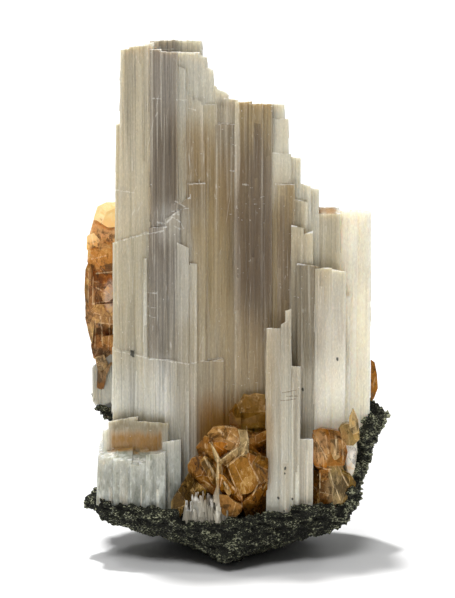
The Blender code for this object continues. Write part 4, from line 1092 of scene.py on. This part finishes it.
def rock_material(name, settings):
    """Dark granular rock with pale crumbs; its crests and right side are painted lighter, its hollows get
    painted shade, and a few grains carry painted glints.
    """
    make = MaterialMaker(name)
    crest = make.fact("crest")
    tone = make.split(make.cell_colours((2.8, 2.8, 2.8)))
    glint = make.split(make.cell_colours((3.1, 3.1, 3.1), (2.0, 4.0, 6.0)))
    big = make.noise((0.22, 0.22, 0.45), 4.0)
    small = make.noise((2.6, 2.6, 5.2), 3.0, (3.0, 5.0, 7.0), 0.72)
    layer = make.noise((0.8, 0.8, 2.4), 3.0, (5.0, 2.0, 3.0), 0.7)
    # partly grain, partly painted light: crests and the right side come out lighter
    grain_and_light = crest * 0.35 + (layer - 0.5) * 2.2 + (small - 0.5) * 5.0 + make.ease(make.x, 14.0, 24.0) * 0.3
    colour = make.mix(settings.dark, (0.048, 0.051, 0.028), make.ease(grain_and_light, -0.30, 0.75))
    colour = make.mix(colour, (0.62, 0.63, 0.41), make.ease(grain_and_light + tone * 0.4, 0.70, 1.10) * 0.85)
    # painted glints on a few grains
    glinting = make.ease(glint, 0.92, 0.96) * make.ease(small, 0.50, 0.6)
    colour = make.mix(colour, settings.light, glinting * 0.8)
    # painted shade: dark patches that keep off the crests, so the hollows come out darker
    colour = make.mix(colour, (0.008, 0.008, 0.005), make.ease(big - crest * 0.25, 0.46, 0.59) * 0.75)
    height = make.ease(make.cell_edges((1.5, 1.5, 1.5)), 0.0, 0.3) * 0.3 + small * 2.2
    return make.set({
        "Base Color": colour, "Roughness": make.ease(glint, 0.85, 0.95) * -0.4 + 0.85,
        "Normal": make.bump(height, 0.28 * MM, 0.9), "Specular IOR Level": 0.35})


def amber_material(name, settings):
    """Clear honey-brown crystal, milky where it is broken inside."""
    make = MaterialMaker(name)
    x, z = make.x, make.z
    shade, tone, rim = make.fact("shade"), make.fact("tone"), make.fact("rim")
    milky = make.split(make.shades(shade, [(share, share, share) for _, share in AMBER_SHADES.values()]))
    cloud = make.noise((0.30, 0.30, 0.22), 3.0)
    fine = make.noise((1.6, 1.6, 0.9), 4.0, (4.0, 1.0, 2.0), 0.65)
    thread = make.noise((3.2, 3.2, 0.35), 2.0, (6.0, 2.0, 5.0))
    dust = make.noise((5.0, 5.0, 4.0), 1.0, (3.0, 8.0, 1.0), 0.8)
    billow, ripple, drawn = cloud - 0.5, fine - 0.5, thread - 0.5
    # inner faces, each with its own tone and tilt
    facet = make.cell_colours((0.50, 0.50, 0.36))
    chip = make.cell_colours((1.6, 1.6, 1.1), (5.0, 2.0, 7.0))
    # the crown is calm and clear
    stir = 1.0 - make.ease(z, 23.6, 25.6) * make.band(x, 0.5, 9.0, 1.0) * 0.55
    painted_glow_left = make.fall(x, -19.4, -18.8)
    depth = ((make.split(facet) - 0.5) * 0.38 + (make.split(chip) - 0.5) * 0.34 + billow * 1.2
             + ripple * 0.8 + drawn * 0.4 + (dust - 0.5) * 0.5) * (1.0 - milky * 0.2) * stir
    # tone brings in the narrow facets' painted highlight, and the term after it the painted glow at the top
    # of the mass on the left
    depth = depth + tone * 0.16 + make.ease(z, 54.0, 58.0) * painted_glow_left * 0.3 - 0.04
    colour = make.shades(shade, [tone for tone, _ in AMBER_SHADES.values()])
    ragged = billow * 1.6 + drawn * 0.8
    for patch in AMBER_TINTS.values():
        away = ((x - patch.left) / patch.wide) ** 2.0 + ((z - patch.height) / patch.tall) ** 2.0
        colour = make.mix(colour, patch.colour, make.fall(away + ragged, 0.45, 1.25) * patch.strength)
    colour = make.shaded(colour, 0.25, make.fall(depth, -0.42, 0.05))
    colour = make.mix(colour, make.mix(colour, (1.0, 0.62, 0.20), 0.6), make.ease(depth, 0.02, 0.42))
    # painted light: the crystals behind the slab's left edge are made lighter and a little paler, as if more
    # light reached them
    colour = make.shaded(colour, 1.45, painted_glow_left * (make.fall(z, 53.0, 58.0) * 0.65 + 0.35))
    colour = make.mix(colour, (0.66, 0.50, 0.36), painted_glow_left * 0.07)
    # painted highlights: bright broken edges, lit rims inside the facets and small glints
    seam = make.fall(make.cell_edges((0.50, 0.50, 0.36)), 0.004, 0.022)
    lit_rim = make.ease(rim, 0.15, 0.95) * make.ease(cloud + drawn * 0.6, 0.42, 0.60)
    edge_highlight = seam * make.ease(cloud, 0.50, 0.60) * make.ease(fine, 0.48, 0.60) * 0.8 + lit_rim * 0.55
    broken = make.ease(thread, 0.30, 0.60)
    for start, end, half in EDGE_HIGHLIGHTS:
        away = make.from_line(start, end) + ripple * (half * 1.6)
        edge_highlight = edge_highlight.math("MAXIMUM", make.fall(away, half * 0.2, half * 1.3) * broken)
    glints = (1.3, 1.3, 1.3), (1.0, 7.0, 3.0)
    glint = make.fall(make.cells(*glints), 0.05, 0.16) * make.ease(
        make.split(make.cell_colours(*glints)), 0.80, 0.86)
    bright = ((edge_highlight * 0.65 + glint * 0.8) * stir).clamp()
    colour = make.mix(colour, (1.0, 0.78, 0.46), bright)
    tilt, chipped = (make.split(face, "Green") * x + make.split(face, "Blue") * z for face in (facet, chip))
    surface = {
        "Base Color": colour, "Roughness": make.ease(fine, 0.3, 0.7) * 0.18 + 0.05,
        "Normal": make.bump((fine * 0.4 + tilt * 0.9 + chipped * 0.45) * stir, 0.25 * MM, 0.5),
        "IOR": 1.52, "Specular IOR Level": 0.08, "Specular Tint": (1.0, 0.72, 0.42, 1.0)}
    make.set({**surface, "Transmission Weight": settings.clarity})
    clouded = make.node("ShaderNodeBsdfPrincipled", {}, {
        **surface, "Subsurface Weight": 0.1, "Subsurface Radius": (1.0, 0.5, 0.25),
        "Subsurface Scale": 0.8 * MM})
    share = (milky + bright * 0.5 + make.ease(fine, 0.60, 0.8) * 0.2).clamp()
    clear = Value(make, make.shader.outputs[0])
    both = make.node("ShaderNodeMixShader", {}, {0: share, 1: clear, 2: clouded})
    make.feed(make.output.inputs["Surface"], both)
    inside = make.node("ShaderNodeVolumeAbsorption", {}, {"Color": (0.96, 0.68, 0.10, 1.0), "Density": 520.0})
    make.feed(make.output.inputs["Volume"], inside)
    return make.material


def floor_material(name):
    """Plain pale floor, very slightly uneven."""
    make = MaterialMaker(name)
    colour = make.mix((0.93, 0.93, 0.93), (0.955, 0.955, 0.955), make.noise((0.4, 0.4, 0.4)))
    return make.set({"Base Color": colour, "Roughness": 0.9, "Specular IOR Level": 0.1})


# ------------------------------------------------------------------ geometry nodes

class TreeMaker(NodeMaker):
    """Builds a Geometry Nodes tree that sets small shapes on a surface, at random."""

    def __init__(self, name, *lengths):
        super().__init__(bpy.data.node_groups.new(name, "GeometryNodeTree"))
        self.start = self.tree.nodes.new("NodeGroupInput")
        self.end = self.tree.nodes.new("NodeGroupOutput")
        self.shapes = None
        self.tree.interface.new_socket("Geometry", in_out="OUTPUT", socket_type="NodeSocketGeometry")
        kinds = {"Geometry": "Geometry", **dict.fromkeys(lengths, "Float"), "Density": "Float",
                 "Seed": "Int", "Finish": "Material"}
        self.named = {}
        for label, kind in kinds.items():
            socket = self.tree.interface.new_socket(label, in_out="INPUT", socket_type="NodeSocket" + kind)
            self.named[label] = socket.identifier

    def given(self, label):
        """What this input is set to."""
        return Value(self, self.start.outputs[label])

    def upward(self, kind):
        """The upward part of each point's place or normal."""
        return self.node("ShaderNodeSeparateXYZ", {}, {0: self.node(kind, {}, {})}, 2)

    def compare(self, value, operation, limit):
        return self.node("FunctionNodeCompare", {"operation": operation}, {0: value, 1: limit})

    def between(self, low, high, seed):
        """A random vector for each point."""
        return self.node("FunctionNodeRandomValue", {"data_type": "FLOAT_VECTOR"},
                         {0: low, 1: high, "Seed": seed})

    def rod(self, sides, segments, top, bottom, shift):
        """A tapered rod, as long as the input says, moved by this much."""
        rod = self.node("GeometryNodeMeshCone", {"fill_type": "NGON"},
                        {"Vertices": sides, "Side Segments": segments, "Radius Top": top,
                         "Radius Bottom": bottom, "Depth": self.given("Length")})
        return self.node("GeometryNodeTransform", {}, {0: rod, "Translation": shift})

    def scatter(self, where, shape, **sockets):
        """Sets the shape on random points of the chosen faces."""
        points = self.node("GeometryNodeDistributePointsOnFaces", {}, {
            "Mesh": self.given("Geometry"), "Selection": where, "Density": self.given("Density"),
            "Seed": self.given("Seed")})
        self.shapes = self.node("GeometryNodeInstanceOnPoints", {},
                                {"Points": points, "Instance": shape, **sockets})
        return self

    def run(self, name, source, finish, **sizes):
        """Ends the tree, runs it on a copy of the source and gives a plain mesh object."""
        real = self.node("GeometryNodeRealizeInstances", {}, {0: self.shapes})
        done = self.node("GeometryNodeSetMaterial", {}, {"Geometry": real, "Material": self.given("Finish")})
        self.feed(self.end.inputs[0], done)
        obj = new_piece(name, source.data.copy())
        modifier = obj.modifiers.new(name, "NODES")
        modifier.node_group = self.tree
        for label, value in {**sizes, "Seed": SEED, "Finish": finish}.items():
            modifier[self.named[label]] = value
        return applied(obj)


def grain_tree():
    """Loose grains scattered over a surface."""
    make = TreeMaker("grains", "Radius")
    above = make.compare(make.upward("GeometryNodeInputPosition"), "GREATER_THAN", GRAINS_ABOVE * MM)
    ball = make.node("GeometryNodeMeshIcoSphere", {}, {"Radius": make.given("Radius"), "Subdivisions": 1})
    return make.scatter(above, ball, Rotation=make.between((0.0, 0.0, 0.0), (6.28, 6.28, 6.28), 3),
                        Scale=make.between((0.3, 0.3, 0.3), (1.7, 1.3, 1.7), 5))


def sliver_tree():
    """Fine slivers of crystal that hang along the upright faces."""
    make = TreeMaker("slivers", "Length")
    steep = make.compare(make.upward("GeometryNodeInputNormal").math("ABSOLUTE"), "LESS_THAN", 0.3)
    above = make.compare(make.upward("GeometryNodeInputPosition"), "GREATER_THAN", SLIVERS_ABOVE * MM)
    down = make.node("ShaderNodeCombineXYZ", {}, {"Z": make.given("Length") * -1.02})
    return make.scatter(steep, make.rod(4, 1, 0.05 * MM, 0.14 * MM, down), Selection=above,
                        Scale=make.between((0.5, 0.4, 0.15), (1.6, 0.8, 1.0), 9))


def fibre_tree():
    """A brush of thin tapered fibres on the upward faces, each leaning its own way."""
    make = TreeMaker("fibres", "Length", "Radius")
    low = make.compare(make.upward("GeometryNodeInputPosition"), "LESS_THAN", FIBRES_BELOW * MM)
    outer = make.compare(make.upward("GeometryNodeInputNormal"), "GREATER_THAN", -0.5)
    flat = make.node("FunctionNodeBooleanMath", {"operation": "AND"}, {0: low, 1: outer})
    fibre = make.rod(5, 2, 0.12 * MM, make.given("Radius"), (0.0, 0.0, -2.2 * MM))
    return make.scatter(flat, fibre, Rotation=make.between((-0.10, -0.22, 0.0), (0.26, 0.22, 6.28), 7),
                        Scale=make.between((0.6, 0.6, 0.45), (1.5, 1.5, 1.0), 8))


# ------------------------------------------------------------------ operators

class SPECIMEN_OT_slab(bpy.types.Operator):
    """Makes the fibrous slab from its columns of needles"""
    bl_idname = "specimen.slab"
    bl_label = "Fibrous slab"

    def execute(self, context):
        settings = context.scene.specimen_slab
        slab = crystals("fibrous_slab", SLAB_COLUMNS, settings, SLAB_SEED)
        material, loose = crystal_material("silky_crystal"), crystal_material("loose_silk", 0.0)
        fine = sliver_tree().run("silk_slivers", slab, loose, Density=settings.sliver_density,
                                 Length=settings.sliver_length)
        finished(slab, ["ulexite_slab"], material)
        finished(fine)
        return {"FINISHED"}


class SPECIMEN_OT_tuft(bpy.types.Operator):
    """Makes the tuft of loose fibres in front of the slab"""
    bl_idname = "specimen.tuft"
    bl_label = "Fibre tuft"

    def execute(self, context):
        settings = context.scene.specimen_slab
        tuft = crystals("fibre_tuft_needles", TUFT_COLUMNS, settings, TUFT_SEED)
        material, loose = (bpy.data.materials[name] for name in ("silky_crystal", "loose_silk"))
        brush = fibre_tree().run("tuft_fibres", tuft, loose, Density=settings.fibres,
                                 Length=settings.fibre_length, Radius=settings.fibre_radius)
        finished(tuft, ["fibre_tuft"], material)
        finished(brush)
        return {"FINISHED"}


class SPECIMEN_OT_amber(bpy.types.Operator):
    """Makes the amber crystals"""
    bl_idname = "specimen.amber"
    bl_label = "Amber crystals"

    def execute(self, context):
        material = amber_material("amber_crystal", context.scene.specimen_amber)
        for number, (node, shards) in enumerate(AMBER_SHARDS.items()):
            piece = amber_crystals(node + "_facets", shards, AMBER_SEED + AMBER_STEP * number)
            finished(piece, [node], material)
        return {"FINISHED"}


class SPECIMEN_OT_rock(bpy.types.Operator):
    """Makes the rock crust and its loose grains"""
    bl_idname = "specimen.rock"
    bl_label = "Rock crust"

    def execute(self, context):
        settings = context.scene.specimen_rock
        noise.seed_set(SEED)
        bm = solid_of("matrix_rock")
        for middle, radii in LUMPS:
            place = Vector(middle) - Vector((*MIDDLE, 0.0))
            bmesh.ops.create_icosphere(bm, subdivisions=2, radius=1.0, matrix=Matrix.Translation(place * MM)
                                       @ Matrix.Diagonal((*(radius * MM for radius in radii), 1.0)))
        rock = new_piece("rock_crust", mesh_of("rock_crust", bm))
        modified(rock, "REMESH", mode="VOXEL", voxel_size=settings.detail)
        mesh = rock.data
        crest = mesh.attributes.new("crest", "FLOAT", "POINT")
        normals = [vert.normal.copy() for vert in mesh.vertices]
        for number, (vert, normal) in enumerate(zip(mesh.vertices, normals)):
            place = vert.co / MM
            layered = Vector((place.x * 0.22, place.y * 0.22, place.z * 0.70 + place.x * 0.08))
            lump = noise.ridged_multi_fractal(layered, 0.8, 2.1, 5, 1.0, 2.0) - 1.1
            crag = noise.fractal(place * 0.9, 0.7, 2.2, 4)
            crumb = noise.cell(place * 1.7) - 0.5
            free = min(1.0, max(0.0, (place.z - 0.05) / 0.8))
            rise = lump * 1.1 + crag * 0.6 + crumb * 0.2
            vert.co += normal * settings.roughness * (rise - 0.2) * free
            crest.data[number].value = rise
        material = rock_material("dark_rock", settings)
        loose = grain_tree().run("rock_grains", rock, material, Density=settings.grains,
                                 Radius=settings.grain)
        finished(rock, ["matrix_rock"], material)
        finished(loose)
        return {"FINISHED"}


class SPECIMEN_OT_stage(bpy.types.Operator):
    """Makes the floor, the lights and the camera"""
    bl_idname = "specimen.stage"
    bl_label = "Stage"

    def execute(self, context):
        settings = context.scene.specimen_stage
        bm = bmesh.new()
        bmesh.ops.create_grid(bm, x_segments=8, y_segments=8, size=FLOOR)
        floor = new_piece("floor", mesh_of("floor", bm))
        floor.data.materials.append(floor_material("pale_floor"))

        world = bpy.data.worlds.new("studio")
        world.use_nodes = True
        sky = NodeMaker(world.node_tree)
        where = sky.node("ShaderNodeTexCoord", {}, {}, "Generated")
        upward = sky.node("ShaderNodeSeparateXYZ", {}, {0: where}, "Z")
        strength = sky.node("ShaderNodeMapRange", {}, {
            "Value": upward, "From Min": 0.10, "From Max": 0.9, "To Min": 0.0, "To Max": 0.34})
        background = world.node_tree.nodes["Background"]
        background.inputs["Color"].default_value = (1.0, 1.0, 1.0, 1.0)
        sky.feed(background.inputs["Strength"], strength)
        context.scene.world = world
        for name, place, strength, spread in LIGHTS:
            light = bpy.data.lights.new(name, "SUN")
            light.energy = strength
            light.angle = math.radians(spread)
            lamp = bpy.data.objects.new(name, light)
            lamp.rotation_euler = Vector(place).to_track_quat("Z", "Y").to_euler()
            context.scene.collection.objects.link(lamp)

        camera = bpy.data.cameras.new("camera")
        camera.sensor_fit = "VERTICAL"
        camera.sensor_height = FRAME_HEIGHT
        camera.lens = settings.lens
        camera.clip_start, camera.clip_end = 0.01, 30.0
        holder = bpy.data.objects.new("camera", camera)
        rise = settings.elevation
        back = Vector((0.0, -math.cos(rise), math.sin(rise)))
        aim = Vector((-MIDDLE[0], -MIDDLE[1], AIM_HEIGHT)) * MM
        holder.location = aim + back * settings.distance
        holder.rotation_euler = back.to_track_quat("Z", "Y").to_euler()
        context.scene.collection.objects.link(holder)
        context.scene.camera = holder
        context.scene.view_settings.view_transform = "Standard"
        return {"FINISHED"}


class SPECIMEN_PT_panel(bpy.types.Panel):
    """Lists the specimen's pieces"""
    bl_idname = "SPECIMEN_PT_panel"
    bl_label = "Ulexite slab"
    bl_space_type = "VIEW_3D"
    bl_region_type = "UI"
    bl_category = "Specimen"

    def draw(self, context):
        scene = context.scene
        for title, settings, operators in PANEL_ROWS:
            box = self.layout.box()
            box.label(text=title)
            group = getattr(scene, settings)
            for name in group.__annotations__:
                box.prop(group, name)
            for operator in operators:
                box.operator(operator.bl_idname)


SETTINGS = {"specimen_slab": SlabSettings, "specimen_amber": AmberSettings, "specimen_rock": RockSettings,
            "specimen_stage": StageSettings}
OPERATORS = (SPECIMEN_OT_rock, SPECIMEN_OT_slab, SPECIMEN_OT_tuft, SPECIMEN_OT_amber, SPECIMEN_OT_stage)
PANEL_ROWS = (
    ("Slab", "specimen_slab", (SPECIMEN_OT_slab, SPECIMEN_OT_tuft)),
    ("Amber", "specimen_amber", (SPECIMEN_OT_amber,)),
    ("Rock", "specimen_rock", (SPECIMEN_OT_rock,)),
    ("Stage", "specimen_stage", (SPECIMEN_OT_stage,)),
)


def register():
    for cls in (*SETTINGS.values(), *OPERATORS, SPECIMEN_PT_panel):
        bpy.utils.register_class(cls)
    for name, cls in SETTINGS.items():
        setattr(bpy.types.Scene, name, bpy.props.PointerProperty(type=cls))


def unregister():
    for name in SETTINGS:
        delattr(bpy.types.Scene, name)
    for cls in reversed((*SETTINGS.values(), *OPERATORS, SPECIMEN_PT_panel)):
        bpy.utils.unregister_class(cls)


def main():
    register()
    bpy.ops.specimen.rock()
    bpy.ops.specimen.slab()
    bpy.ops.specimen.tuft()
    bpy.ops.specimen.amber()
    bpy.ops.specimen.stage()


if __name__ == "__main__":
    main()
